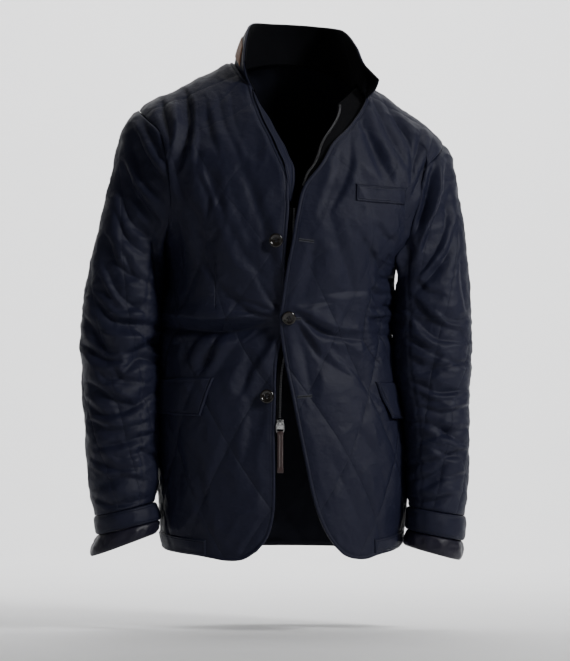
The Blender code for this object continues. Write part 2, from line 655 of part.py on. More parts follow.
# The collar: a wall that stands on the neck seam.
def collar_surface(rows):
    """Points and normals of the collar; its columns start from the corners of the panels below it."""
    turn = np.array([360.0, 0.0])
    right_end = right_grid[0, NECK_CELLS::-1]
    left_end = left_grid[0, : NECK_CELLS + 1] - turn
    line = join(join(right_end, back_neck - turn), left_end)
    angle = line[:, 0]
    seat = np.interp(angle, COLLAR[::-1, 0], np.arange(len(COLLAR))[::-1])
    row = spline(COLLAR, seat)
    foot = form(angle, line[:, 1])
    foot_normal = form_normal(angle, line[:, 1])
    rise = row[:, 1:4] - foot
    along = np.gradient(foot, axis=0)
    wall_normal = unit(np.cross(rise, along))
    up = unit(np.cross(along, foot_normal))
    up *= np.sign((up * rise).sum(axis=1))[:, None]
    across = np.abs((wall_normal * up).sum(axis=1))
    upward = unit(rise)
    drop = WALL * across
    lift = COLLAR_OFF + COLLAR_OUTER * across + drop * np.maximum(0, (upward * up).sum(axis=1))
    foot = foot + up * lift[:, None] - upward * drop[:, None]
    foot = foot + foot_normal * (COLLAR_END_LIFT * np.clip((-266.0 - angle) / 20.0, 0, 1))[:, None]
    t = np.linspace(0, 1, rows + 1)[None, :, None]
    belly = 0.003 * np.sin(math.pi * t) * wall_normal[:, None, :]
    points = foot[:, None, :] * (1 - t) + row[:, None, 1:4] * t + belly
    normal = unit(np.cross(np.gradient(points, axis=1), np.gradient(points, axis=0)))
    return points, normal


collar_points, collar_normal = collar_surface(COLLAR_ROWS)
wall("under_collar", collar_points + collar_normal * COLLAR_OUTER, collar_points, COAT_CLOTH)
wall(
    "top_collar",
    collar_points - collar_normal * 0.0003,
    collar_points - collar_normal * (0.0003 + COLLAR_INNER),
    BLACK_PILE,
)
patch_columns = slice(2, 7)
patch_points = collar_points[patch_columns, 1:5]
patch_normal = collar_normal[patch_columns, 1:5]
wall(
    "collar_patch",
    patch_points + patch_normal * (COLLAR_OUTER + 0.0015),
    patch_points + patch_normal * (COLLAR_OUTER + 0.0003),
    TAN_SUEDE,
)


# What lies on a panel is made from the panel's own facets, moved out.
def facets(*names):
    """One search tree over the facets of the named pieces."""
    bm = bmesh.new()
    for name in names:
        bm.from_mesh(bpy.data.objects[name].data)
    tree = BVHTree.FromBMesh(bm)
    bm.free()
    return tree


def on_facets(tree, angle, level):
    """The outermost facet point at this angle and level, and the form's normal there."""
    normal = Vector(form_normal([angle], level)[0])
    start = Vector(form([angle], level)[0]) + normal * 0.03
    hit = tree.ray_cast(start, -normal, 0.06)
    point = hit[0] if hit[0] is not None else start - normal * 0.03
    return np.array(point), np.array(normal)


def lying_on(tree, grid, bottom, thick):
    """Inner and outer points of a piece that lies on facets; bottom and thick are grids of heights."""
    shape = grid.shape[:2]
    inner = np.zeros((*shape, 3))
    outer = np.zeros((*shape, 3))
    for i in range(shape[0]):
        for j in range(shape[1]):
            point, normal = on_facets(tree, grid[i, j, 0], grid[i, j, 1])
            inner[i, j] = point + normal * bottom[i, j]
            outer[i, j] = point + normal * (bottom[i, j] + thick[i, j])
    return outer, inner


def four_corners(corners, columns, rows):
    """A grid of (angle, level) between four seen corners, named from above: inner, outer, then below."""
    a, b, c, d = [np.array(corner) for corner in corners]
    s = np.linspace(0, 1, columns + 1)[:, None, None]
    t = np.linspace(0, 1, rows + 1)[None, :, None]
    return (1 - t) * ((1 - s) * a + s * b) + t * ((1 - s) * c + s * d)


left_tree = facets("left_front")
right_tree = facets("right_front")
side_tree = facets("left_front", "right_front", "back")


def slab(name, tree, corners, columns, rows, thick, surface, stand_off=0.0, bulge=0.0):
    """A cloth piece on a panel; stand_off lifts its lower edge, bulge its middle."""
    grid = four_corners(corners, columns, rows)
    t = np.linspace(0, 1, rows + 1)[None, :]
    s = np.linspace(0, 1, columns + 1)[:, None]
    bottom = ON_PANEL + stand_off * t**1.5 + 0 * s
    height = thick + bulge * np.sin(math.pi * s) * np.sin(math.pi * t)
    outer, inner = lying_on(tree, grid, bottom, height)
    wall(name, outer, inner, surface)


def corner_at(angle, z):
    return angle, level_at(angle, z)


WELT = (place(0.0975, -0.1650), place(0.1740, -0.1700), place(0.0975, -0.1900), place(0.1740, -0.1950))
slab("breast_welt", left_tree, WELT, 8, 3, 0.0018, COAT_CLOTH)
RIGHT_FLAP = (
    place(-0.1140, -0.4530),
    corner_at(-74.0, -0.4560),
    place(-0.1320, -0.5115),
    corner_at(-74.0, -0.5085),
)
slab("right_flap", side_tree, RIGHT_FLAP, 12, 5, 0.0030, COAT_CLOTH, stand_off=0.0030)
LEFT_FLAP = (
    place(0.1290, -0.4600),
    corner_at(73.0, -0.4620),
    place(0.1490, -0.5160),
    corner_at(77.0, -0.5180),
)
slab("left_flap", side_tree, LEFT_FLAP, 12, 5, 0.0030, COAT_CLOTH, stand_off=0.0050)
RIGHT_TAB = (place(-0.1260, -0.6960), corner_at(-87.0, -0.6860), place(-0.1260, -0.7190), corner_at(-87.0, -0.7100))
slab("right_hem_tab", right_tree, RIGHT_TAB, 12, 2, 0.0018, COAT_CLOTH)
LEFT_TAB = (place(0.1260, -0.6960), corner_at(87.0, -0.6840), place(0.1270, -0.7160), corner_at(87.0, -0.7060))
slab("left_hem_tab", left_tree, LEFT_TAB, 12, 2, 0.0018, COAT_CLOTH)


# Strips inside the neck and along the right front's edge.
def strip(name, inner_line, outer_line, columns, rows, top_at, thick, surface):
    """A strip between two lines of (angle, level), its outer face at the height top_at(angle, s)."""
    first = trace(inner_line, rows)
    second = trace(outer_line, rows)
    s = np.linspace(0, 1, columns + 1)[:, None, None]
    grid = (1 - s) * first[None] + s * second[None]
    base = at_grid(form, grid)
    normal = at_grid(form_normal, grid)
    height = top_at(grid[..., 0], s[..., 0])[..., None]
    wall(name, base + normal * height, base + normal * (height - thick), surface)


PLACKET_WALL = 0.0014
PLACKET_INNER = [(0.0720, -0.0360), (0.0480, -0.0960), (0.0285, -0.1410), (0.0135, -0.1750), (0.0100, -0.1950)]
PLACKET_OUTER = [(0.0840, -0.0935), (0.0570, -0.1290), (0.0260, -0.1725), (0.0190, -0.1950)]
PLACKET_DOWN = 0.0038


def placket_top(angle, s):
    return lap_of(angle) - WALL - PLACKET_DOWN


strip(
    "left_placket",
    [place(x, z) for x, z in PLACKET_INNER],
    [(84.0, 0.08), (68.0, 0.52)] + [place(x, z) for x, z in PLACKET_OUTER],
    5,
    10,
    placket_top,
    PLACKET_WALL,
    BLACK_TAPE,
)
LEFT_TEETH_IN = [(0.0750, -0.0380), (0.0505, -0.0955), (0.0310, -0.1405), (0.0175, -0.1680)]
TEETH_WIDE = 0.0026
TEETH_OFF = 0.0009


def placket_teeth_top(angle, s):
    return placket_top(angle, s) + 0.0022


strip(
    "left_zip_teeth",
    [place(x, z) for x, z in LEFT_TEETH_IN],
    [place(x + TEETH_WIDE, z) for x, z in LEFT_TEETH_IN],
    1,
    12,
    placket_teeth_top,
    0.0018,
    DARK_TEETH,
)


right_edge_points = form(right_grid[0, NECK_CELLS:, 0], right_grid[0, NECK_CELLS:, 1])


def edge_x(z):
    """Where the right front's edge is at a height."""
    return float(np.interp(-z, -right_edge_points[:, 2], right_edge_points[:, 0]))


def beside_edge(across, heights):
    return [place(edge_x(z) + width, z) for z, width in zip(heights, across)]


STRIP_CLEAR = 0.0018  # space between the front's edge and the strips beside it
FACING_Z = (-0.024, -0.060, -0.095, -0.125, -0.150, -0.172, -0.190)
FACING_WIDE = (0.013, 0.017, 0.018, 0.017, 0.014, 0.009, 0.004)


def facing_top(angle, s):
    return -0.0006 - 0.0090 * s + 0 * angle


strip(
    "right_facing",
    beside_edge([STRIP_CLEAR] * 7, FACING_Z),
    beside_edge(FACING_WIDE, FACING_Z),
    3,
    12,
    facing_top,
    0.0022,
    COAT_CLOTH,
)
TAPE_Z = (-0.2000, -0.2300, -0.2700, -0.3100, -0.3400, -0.3630, -0.3850, -0.4100, -0.4500, -0.5000, -0.5480)
TAPE_WIDE = (0.0070, 0.0075, 0.0075, 0.0070, 0.0065, 0.0060, 0.0065, 0.0075, 0.0060, 0.0050, 0.0045)
TEETH_Z = TAPE_Z[:-1] + (-0.5125,)
TEETH_AT = TAPE_WIDE[:-1] + (0.0049,)


def tape_top(angle, s):
    return -0.0016 + 0 * angle


def teeth_top(angle, s):
    return 0.0004 + 0 * angle


strip("zip_tape", beside_edge([STRIP_CLEAR] * 11, TAPE_Z), beside_edge(TAPE_WIDE, TAPE_Z), 1, 24, tape_top, 0.0012, BLACK_TAPE)
strip(
    "zip_teeth",
    beside_edge([w + TEETH_OFF for w in TEETH_AT], TEETH_Z),
    beside_edge([w + TEETH_OFF + TEETH_WIDE for w in TEETH_AT], TEETH_Z),
    1,
    22,
    teeth_top,
    0.0036,
    DARK_TEETH,
)


# Hard pieces.
def applied(made):
    """Turns the object's modifiers into its mesh."""
    graph = bpy.context.evaluated_depsgraph_get()
    mesh = bpy.data.meshes.new_from_object(made.evaluated_get(graph))
    made.modifiers.clear()
    made.data = mesh
    return made


def cylinder(name, radius, depth, sides, surface):
    bm = bmesh.new()
    bmesh.ops.create_cone(
        bm, cap_ends=True, segments=sides, radius1=radius, radius2=radius, depth=depth
    )
    return finish(name, bm, surface)


def box(name, size, at, surface):
    bm = bmesh.new()
    bmesh.ops.create_cube(bm, size=1.0)
    bmesh.ops.scale(bm, vec=Vector(size), verts=bm.verts[:])
    bmesh.ops.translate(bm, vec=Vector(at), verts=bm.verts[:])
    return finish(name, bm, surface)


def cut(made, cutter):
    modifier = made.modifiers.new("cut", "BOOLEAN")
    modifier.operation = "DIFFERENCE"
    modifier.solver = "EXACT"
    modifier.object = cutter
    applied(made)
    bpy.data.objects.remove(cutter, do_unlink=True)


def add(made, other):
    modifier = made.modifiers.new("add", "BOOLEAN")
    modifier.operation = "UNION"
    modifier.solver = "EXACT"
    modifier.object = other
    applied(made)
    bpy.data.objects.remove(other, do_unlink=True)


def baked(made, matrix):
    """Puts the mesh in place by a matrix, the object itself staying unturned."""
    made.data.transform(matrix)
    return made


BUTTON_RADIUS = 0.0105
BUTTON_THICK = 0.0040
DISH_RADIUS = 0.0070
DISH_DEEP = 0.0012
HOLE_RADIUS = 0.0011
HOLE_OUT = 0.0021


def button(name, tree, x, z, turn):
    """A four-hole button on a panel, its axis along the panel's normal."""
    made = cylinder(name, BUTTON_RADIUS, BUTTON_THICK, 24, DARK_HORN)
    bevel = made.modifiers.new("round", "BEVEL")
    bevel.width = 0.0011
    bevel.segments = 2
    bevel.limit_method = "ANGLE"
    applied(made)
    dish = cylinder("dish", DISH_RADIUS, 2 * DISH_DEEP, 20, DARK_HORN)
    baked(dish, Matrix.Translation((0, 0, BUTTON_THICK / 2)))
    cut(made, dish)
    for step in range(4):
        hole = cylinder("hole", HOLE_RADIUS, 3 * BUTTON_THICK, 8, DARK_HORN)
        angle = math.radians(90 * step + 45)
        baked(hole, Matrix.Translation((HOLE_OUT * math.cos(angle), HOLE_OUT * math.sin(angle), 0)))
        cut(made, hole)
    angle, level = place(x, z)
    reach = []
    for around in range(0, 360, 30):
        sine = BUTTON_RADIUS * math.sin(math.radians(around))
        cosine = BUTTON_RADIUS * math.cos(math.radians(around))
        point, normal = on_facets(tree, *place(x + cosine, z + sine))
        reach.append(point)
    point, normal = on_facets(tree, angle, level)
    lift = max(float(np.dot(p - point, normal)) for p in reach + [point])
    centre = Vector(point) + Vector(normal) * (max(lift, 0.0) + ON_PANEL + BUTTON_THICK / 2)
    turned = Vector(normal).to_track_quat("Z", "Y").to_matrix().to_4x4()
    baked(made, Matrix.Translation(centre) @ turned @ Matrix.Rotation(math.radians(turn), 4, "Z"))
    return made


button("top_button", right_tree, -0.0210, -0.2490, 10)
button("middle_button", left_tree, -0.0020, -0.3630, 30)
button("low_button", right_tree, -0.0345, -0.4815, -15)

SLIDER_Z = -0.5230
SLIDER_WIDE = 0.0105
SLIDER_TALL = 0.0160
SLIDER_DEEP = 0.0066
SLIDER_X = edge_x(SLIDER_Z) + 0.0075
SLIDER_IN = 0.0014
TAPE_IN = 0.0022
slider_angle, slider_level = place(SLIDER_X, SLIDER_Z)
SLIDER_Y = float(form([slider_angle], slider_level)[0][1]) + SLIDER_IN

slider = box("zip_slider", (SLIDER_WIDE, SLIDER_DEEP, SLIDER_TALL), (0, 0, 0), BRIGHT_METAL)
bevel = slider.modifiers.new("round", "BEVEL")
bevel.width = 0.0012
bevel.segments = 2
applied(slider)
BAR = 0.0016
RING_OUT = SLIDER_DEEP / 2 + 0.0006 + BAR / 2
BAIL_REACH = RING_OUT + BAR / 2 + 0.0006
PIVOT_UP = 0.0030
bail = box("bail", (0.0032, BAIL_REACH + 0.0014, 0.0066), (0, -(BAIL_REACH + 0.0014) / 2, PIVOT_UP), BRIGHT_METAL)
gap = box(
    "gap", (0.02, BAIL_REACH - SLIDER_DEEP / 2, 0.0036), (0, -(SLIDER_DEEP / 2 + BAIL_REACH) / 2, PIVOT_UP), BRIGHT_METAL
)
cut(bail, gap)
add(slider, bail)
slot = box(
    "slot", (SLIDER_WIDE, 0.0034, 2 * SLIDER_TALL), (-0.40 * SLIDER_WIDE, TAPE_IN - SLIDER_IN, 0), BRIGHT_METAL
)
cut(slider, slot)
baked(slider, Matrix.Translation((SLIDER_X, SLIDER_Y, SLIDER_Z)))

# The ring hangs from the bail and turns on its top bar, which is the origin of both moving pieces.
PIVOT = (SLIDER_X, SLIDER_Y - RING_OUT, SLIDER_Z + PIVOT_UP)
RING_HOLE_WIDE = 0.0096
RING_HOLE_TALL = 0.0140
STRAP_WIDE = 0.0086
STRAP_DEEP = 0.0042
STRAP_TALL = 0.0600
LOOP_WALL = 0.0010


def box_from(name, size, at, surface):
    """A box whose centre is given from the pivot, with the pivot as its origin."""
    made = box(name, size, at, surface)
    made.location = PIVOT
    return made


ring_wide = RING_HOLE_WIDE + 2 * BAR
ring_tall = RING_HOLE_TALL + 2 * BAR
ring_middle = -(RING_HOLE_TALL + BAR) / 2
ring = box_from("zip_pull", (ring_wide, BAR, ring_tall), (0, 0, ring_middle), BRIGHT_METAL)
hole = box_from("hole", (RING_HOLE_WIDE, 4 * BAR, RING_HOLE_TALL), (0, 0, ring_middle), BRIGHT_METAL)
cut(ring, hole)
low_bar = -(RING_HOLE_TALL + BAR)
strap_top = low_bar + BAR / 2 + 0.0005 + LOOP_WALL
strap = box_from(
    "leather_pull", (STRAP_WIDE, STRAP_DEEP, STRAP_TALL), (0, 0, strap_top - STRAP_TALL / 2), BRAIDED_LEATHER
)
hole = box_from(
    "hole", (4 * STRAP_WIDE, STRAP_DEEP - 2 * LOOP_WALL + 0.0004, BAR + 0.0010), (0, 0, low_bar), BRAIDED_LEATHER
)
cut(strap, hole)
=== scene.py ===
# %% [markdown]
# # A quilted sport coat, worn and fastened at the middle button
#
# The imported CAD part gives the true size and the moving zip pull. This lesson dresses it: each cloth
# solid is replaced by a finer shell of the same form, with its creases, quilting and stitching, and each
# hard piece by a finer one. Everything is in metres, +Z is up and the coat faces -Y.

import json
import math

import bmesh
import bpy
import numpy as np
from mathutils import Matrix, Vector, noise
from mathutils.bvhtree import BVHTree


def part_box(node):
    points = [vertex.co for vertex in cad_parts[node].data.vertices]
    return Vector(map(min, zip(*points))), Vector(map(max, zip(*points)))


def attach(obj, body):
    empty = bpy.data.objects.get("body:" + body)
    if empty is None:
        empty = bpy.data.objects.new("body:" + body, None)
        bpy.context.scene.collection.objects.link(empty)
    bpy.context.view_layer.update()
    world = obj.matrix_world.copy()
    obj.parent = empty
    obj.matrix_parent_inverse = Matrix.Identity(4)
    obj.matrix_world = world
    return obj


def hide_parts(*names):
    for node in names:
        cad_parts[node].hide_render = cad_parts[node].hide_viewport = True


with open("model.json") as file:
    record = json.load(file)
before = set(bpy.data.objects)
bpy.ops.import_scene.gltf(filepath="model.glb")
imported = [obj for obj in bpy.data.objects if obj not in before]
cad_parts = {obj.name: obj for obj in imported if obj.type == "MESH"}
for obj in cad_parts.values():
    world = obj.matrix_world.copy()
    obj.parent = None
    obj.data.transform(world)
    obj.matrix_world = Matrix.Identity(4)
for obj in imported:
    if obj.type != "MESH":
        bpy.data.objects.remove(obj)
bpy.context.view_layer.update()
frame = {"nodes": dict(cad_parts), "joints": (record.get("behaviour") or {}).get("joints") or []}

# %% [markdown]
# ## The form of the coat
#
# A tailor shapes cloth over a form. Here the form is one smooth function: an angle round the body (0 is
# the middle of the front, +90 the coat's own left side) and a level from the neck down to the hem. A
# table holds the size of each ring, and a smooth curve joins its rows. The CAD solids were cut from the
# same form, so a shell that is worked out from it lies on its solid everywhere, at any fineness.

# %% The table of rings and the form function
BODY_COLUMNS = (
    "z_front, z_side, z_back, lean, centre_x, centre_y, half_width, depth_front, depth_back, squareness"
)
BODY = np.array([
    (-0.060, 0.0100, 0.030, 0.0120, 0.0080, 0.012, 0.0940, 0.088, 0.078, 2.0),
    (-0.100, -0.0195, -0.005, 0.0135, 0.0000, 0.008, 0.1570, 0.118, 0.105, 2.1),
    (-0.140, -0.0728, -0.062, 0.0248, 0.0000, 0.004, 0.2300, 0.135, 0.125, 2.3),
    (-0.185, -0.1500, -0.145, 0.0180, -0.0030, 0.002, 0.2220, 0.143, 0.135, 2.4),
    (-0.235, -0.2280, -0.225, 0.0100, -0.0060, 0.000, 0.1950, 0.147, 0.139, 2.4),
    (-0.288, -0.2850, -0.285, 0.0000, -0.0130, 0.000, 0.1730, 0.144, 0.135, 2.3),
    (-0.345, -0.3450, -0.345, 0.0000, -0.0188, 0.000, 0.1738, 0.133, 0.122, 2.3),
    (-0.405, -0.4050, -0.405, 0.0000, -0.0218, 0.000, 0.1753, 0.126, 0.114, 2.3),
    (-0.475, -0.4750, -0.475, 0.0000, -0.0183, 0.000, 0.1808, 0.130, 0.125, 2.3),
    (-0.560, -0.5600, -0.560, 0.0000, -0.0130, 0.000, 0.1865, 0.137, 0.140, 2.3),
    (-0.640, -0.6400, -0.640, 0.0000, -0.0105, 0.000, 0.1860, 0.139, 0.144, 2.3),
    (-0.715, -0.7150, -0.715, 0.0000, -0.0123, 0.000, 0.1788, 0.140, 0.144, 2.3),
    (-0.790, -0.7900, -0.790, 0.0000, -0.0123, 0.000, 0.1765, 0.140, 0.143, 2.3),
])
LAP = 0.0078


def spline(table, where):
    """Rows of a table joined by a smooth curve; where counts rows."""
    table = np.asarray(table, dtype=float)
    where = np.atleast_1d(np.asarray(where, dtype=float))
    last = len(table) - 1
    low = np.clip(np.floor(where).astype(int), 0, last - 1)
    f = (where - low).reshape(-1, *[1] * (table.ndim - 1))
    pick = (low > 0).reshape(f.shape)
    before = np.where(pick, table[np.maximum(low - 1, 0)], 2 * table[low] - table[low + 1])
    pick = (low < last - 1).reshape(f.shape)
    after = np.where(pick, table[np.minimum(low + 2, last)], 2 * table[low + 1] - table[low])
    here, there = table[low], table[low + 1]
    slope_here, slope_there = (there - before) / 2, (after - here) / 2
    return (
        (2 * f**3 - 3 * f**2 + 1) * here
        + (f**3 - 2 * f**2 + f) * slope_here
        + (3 * f**2 - 2 * f**3) * there
        + (f**3 - f**2) * slope_there
    )


def signed_power(value, power):
    return np.sign(value) * np.abs(value) ** power


def form(angle, level):
    """Points of the body form for arrays of angles in degrees and levels."""
    angle = np.radians(np.atleast_1d(np.asarray(angle, dtype=float)))
    row = spline(BODY, np.broadcast_to(level, angle.shape))
    z_front, z_side, z_back, lean, centre_x, centre_y, half_width, depth_front, depth_back, squareness = row.T
    sine, cosine = np.sin(angle), np.cos(angle)
    depth = np.where(cosine > 0, depth_front, depth_back)
    x = centre_x + half_width * signed_power(sine, 2 / squareness)
    y = centre_y - depth * signed_power(cosine, 2 / squareness)
    front, back = np.maximum(cosine, 0) ** 2, np.maximum(-cosine, 0) ** 2
    z = z_side + (z_front - z_side) * front + (z_back - z_side) * back - lean * sine
    return np.stack([x, y, z], axis=1)


def unit(vectors):
    return vectors / np.maximum(np.linalg.norm(vectors, axis=-1, keepdims=True), 1e-12)


def form_normal(angle, level):
    angle = np.atleast_1d(np.asarray(angle, dtype=float))
    level = np.broadcast_to(np.asarray(level, dtype=float), angle.shape)
    around = form(angle + 2.0, level) - form(angle - 2.0, level)
    down = form(angle, level + 0.05) - form(angle, level - 0.05)
    return unit(np.cross(down, around))


print("the form has", len(BODY), "rings of", BODY_COLUMNS)

# %% [markdown]
# ## Lines on the form
#
# A pattern cutter draws edges as seen from the front. `place` finds the angle and level that are seen at
# a point x, z, by a few Newton steps, `level_at` finds a height at an angle, and `trace` cuts a drawn
# line evenly. `patch` fills a panel between four such lines with straight rows that bend only near its
# top and hem.

# %% Place, trace and patch
def place(x, z):
    """The angle and level of the front that is seen at x, z."""
    best = None
    for start in np.arange(0.0, 12.0, 0.5):
        row = spline(BODY, [start])[0]
        guess = math.degrees(math.asin(np.clip((x - row[4]) / row[6], -0.97, 0.97)))
        point = form([guess], start)[0]
        miss = abs(point[0] - x) + abs(point[2] - z)
        if best is None or miss < best[0]:
            best = (miss, guess, start)
    angle, level = best[1:]
    for step in range(30):
        here = form([angle], level)[0]
        error = np.array([x - here[0], z - here[2]])
        if np.abs(error).max() < 1e-7:
            break
        by_angle = (form([angle + 0.05], level)[0] - here) / 0.05
        by_level = (form([angle], level + 0.01)[0] - here) / 0.01
        matrix = np.array([[by_angle[0], by_level[0]], [by_angle[2], by_level[2]]])
        change = np.linalg.lstsq(matrix, error, rcond=None)[0]
        angle = float(np.clip(angle + np.clip(change[0], -6, 6), -92, 92))
        level = float(np.clip(level + np.clip(change[1], -0.4, 0.4), 0.0, 12.0))
    return angle, level


def level_at(angle, z):
    """The level at which the form at this angle has height z."""
    low, high = 0.0, 12.0
    for step in range(50):
        middle = (low + high) / 2
        low, high = (middle, high) if form([angle], middle)[0][2] > z else (low, middle)
    return (low + high) / 2


def lengths_along(points):
    """Length along a line of points, from its start."""
    return np.concatenate([[0], np.cumsum(np.linalg.norm(np.diff(points, axis=0), axis=1))])


def trace(nodes, cells, first_cells=0, split_z=0.0):
    """A smooth line through (angle, level) nodes, cut evenly; first_cells of the cells lie above split_z."""
    fine = spline(nodes, np.linspace(0, len(nodes) - 1, 40 * (len(nodes) - 1) + 1))
    points = form(fine[:, 0], fine[:, 1])
    length = lengths_along(points)
    wanted = np.linspace(0, length[-1], cells + 1)
    if first_cells:
        split = np.interp(-split_z, -points[:, 2], length)
        upper = np.linspace(0, split, first_cells + 1)
        wanted = np.concatenate([upper, np.linspace(split, length[-1], cells - first_cells + 1)[1:]])
    return np.stack([np.interp(wanted, length, fine[:, 0]), np.interp(wanted, length, fine[:, 1])], axis=1)


def join(first, second):
    return np.concatenate([first, second[1:]])


def patch(top, hem, inner, outer):
    """A grid of (angle, level): straight rows from inner to outer, bent to the top and hem near them."""
    rows = len(inner) - 1
    s = np.linspace(0, 1, len(top))[:, None, None]
    grid = (1 - s) * inner[None, :, :] + s * outer[None, :, :]
    row = np.arange(rows + 1)[None, :, None]
    near_top = np.clip(1 - row / TOP_BLEND, 0, 1) ** 3
    near_hem = np.clip(1 - (rows - row) / HEM_BLEND, 0, 1) ** 2
    return grid + near_top * (top[:, None, :] - grid[:, :1]) + near_hem * (hem[:, None, :] - grid[:, -1:])


def at_grid(function, grid):
    flat = grid.reshape(-1, 2)
    return function(flat[:, 0], flat[:, 1]).reshape(grid.shape[0], grid.shape[1], 3)


# %% [markdown]
# ## The cut of the panels
#
# The edges of both fronts, their hems and the armholes are drawn in the front view. The left front closes
# over the right one and bows out to the fastened button, and both hem corners are rounded.

# %% The edges of the panels
RIGHT_EDGE = [
    (-0.0585, -0.0170), (-0.0360, -0.0765), (-0.0150, -0.1230), (-0.0030, -0.1725), (-0.0045, -0.2475),
    (-0.0060, -0.3200), (0.0020, -0.3630), (-0.0100, -0.3950), (-0.0190, -0.4300), (-0.0210, -0.4875),
    (-0.0225, -0.5475), (-0.0225, -0.6400), (-0.0265, -0.6720), (-0.0375, -0.7000), (-0.0495, -0.7125),
]
RIGHT_HEM = [
    (-0.0495, -0.7125), (-0.0620, -0.7220), (-0.0810, -0.7265), (-0.1065, -0.7260), (-0.1380, -0.7200),
]
LEFT_EDGE = [
    (0.1145, -0.0330), (0.0750, -0.0915), (0.0480, -0.1290), (0.0165, -0.1725), (0.0105, -0.1965),
    (0.0000, -0.2625), (-0.0105, -0.3225), (-0.0165, -0.3645), (-0.0135, -0.3975), (-0.0045, -0.4500),
    (0.0015, -0.4785), (0.0165, -0.5535), (0.0315, -0.6255), (0.0435, -0.6650), (0.0555, -0.6900),
    (0.0660, -0.7050),
]
LEFT_HEM = [(0.0660, -0.7050), (0.0780, -0.7170), (0.0960, -0.7240), (0.1140, -0.7250), (0.1350, -0.7190)]
RIGHT_HEM_SIDE_Z, LEFT_HEM_SIDE_Z, BACK_HEM_Z, EDGE_BELOW = -0.712, -0.708, -0.716, 0.045
RIGHT_ARMHOLE = [(-0.1995, -0.0810), (-0.1860, -0.1140), (-0.1785, -0.1695), (-0.1780, -0.2050)]
LEFT_ARMHOLE = [(0.2055, -0.1365), (0.1980, -0.1590), (0.1815, -0.2250), (0.1700, -0.2560)]
RIGHT_UNDERARM_Z, LEFT_UNDERARM_Z = -0.247, -0.285
NECK_CELLS, SHOULDER_CELLS, ARMHOLE_CELLS, SIDE_CELLS, BACK_NECK_CELLS = 4, 9, 10, 18, 10
TOP_BLEND, HEM_BLEND = 5, 4


def lap_of(angle):
    """How far the left front stands out at an angle: all of the lap at its edge, none at the side."""
    f = np.clip((40.0 - angle) / 30.0, 0, 1)
    return LAP * f * f * (3 - 2 * f)


def armhole_nodes(side, seen, underarm_z):
    low, seam = level_at(90.0 * side, underarm_z), 90.0 * side
    return [(seam, 2.0)] + [place(x, z) for x, z in seen] + [(72.0 * side, low - 0.12), (seam, low)]


def front_grid(side, edge, hem, hem_side_z, armhole, underarm_z):
    """The (angle, level) grid of a front and its armhole, side seam and shoulder lines."""
    corner, at_side = place(*edge[0]), 90.0 * side
    neck = trace([(at_side, 0.0), (0.5 * (corner[0] + at_side), 0.25 * corner[1]), corner], NECK_CELLS)
    shoulder = trace([(at_side, 0.0), (at_side, 1.0), (at_side, 2.0)], SHOULDER_CELLS)
    arm = trace(armhole_nodes(side, armhole, underarm_z), ARMHOLE_CELLS)
    low, under = level_at(at_side, hem_side_z), arm[-1][1]
    seam = trace([(at_side, under), (at_side, (under + low) / 2), (at_side, low)], SIDE_CELLS)
    cells, upper_cells = ARMHOLE_CELLS + SIDE_CELLS - NECK_CELLS, ARMHOLE_CELLS - NECK_CELLS
    edge_line = trace([place(x, z) for x, z in edge], cells, upper_cells, underarm_z - EDGE_BELOW)
    foot = trace([place(x, z) for x, z in hem] + [(at_side, low)], SHOULDER_CELLS)
    return patch(shoulder, foot, join(neck, edge_line), join(arm, seam)), arm, seam, shoulder


right_grid, right_arm, right_side, right_shoulder = front_grid(
    -1, RIGHT_EDGE, RIGHT_HEM, RIGHT_HEM_SIDE_Z, RIGHT_ARMHOLE, RIGHT_UNDERARM_Z
)
left_grid, left_arm, left_side, left_shoulder = front_grid(
    1, LEFT_EDGE, LEFT_HEM, LEFT_HEM_SIDE_Z, LEFT_ARMHOLE, LEFT_UNDERARM_Z
)


def behind(line):
    """The same line on the back of the form: angle a becomes 180 - a."""
    return np.stack([180.0 - line[:, 0], line[:, 1]], axis=1)


back_neck = trace([(270.0, 0.0), (225.0, 0.0), (180.0, 0.0), (135.0, 0.0), (90.0, 0.0)], BACK_NECK_CELLS)
back_hem_nodes = [(270.0, right_side[-1][1])]
back_hem_nodes += [(a, level_at(a, BACK_HEM_Z)) for a in (225.0, 180.0, 135.0)] + [(90.0, left_side[-1][1])]
back_grid = patch(
    join(join(behind(right_shoulder)[::-1], back_neck), behind(left_shoulder)),
    trace(back_hem_nodes, BACK_NECK_CELLS + 2 * SHOULDER_CELLS),
    join(behind(right_arm), behind(right_side)),
    join(behind(left_arm), behind(left_side)),
)
print("panels:", right_grid.shape, left_grid.shape, back_grid.shape)

# %% [markdown]
# ## A shell of cloth
#
# A coat is flat cloth sewn to shape. `finer` reads a coarse grid of angles and levels at many more
# places, with some extra rows right at the edges, where the cloth rolls over. `shell` turns an outer and
# an inner grid of points into a closed skin: a bmesh grid whose vertices are moved to their places, and
# an extrusion for the lining side. Each vertex also carries numbers that its material reads: where it is
# on the cloth, on the quilting and how far from the stitched edge.

# %% Fine grids and closed shells
def ends_packed(cells, per_cell, near=(0.0, 0.035, 0.08, 0.15, 0.24)):
    """Places from 0 to cells, per_cell to a cell, packed at both ends."""
    inside = np.arange(1, cells * per_cell) / per_cell
    inside = inside[(inside > near[-1] + 0.03) & (inside < cells - near[-1] - 0.03)]
    return np.concatenate([near, inside, cells - np.array(near)[::-1]])


def finer(grid, across, down):
    """A grid read at the places across and down, which count its cells."""
    return spline(np.swapaxes(spline(grid, across), 0, 1), down).swapaxes(0, 1)


def steps_along(points, axis):
    """Length along one axis of a grid of points, from its start."""
    lengths = np.cumsum(np.linalg.norm(np.diff(points, axis=axis), axis=-1), axis=axis)
    pad = [(0, 0), (0, 0)]
    pad[axis] = (1, 0)
    return np.pad(lengths, pad)


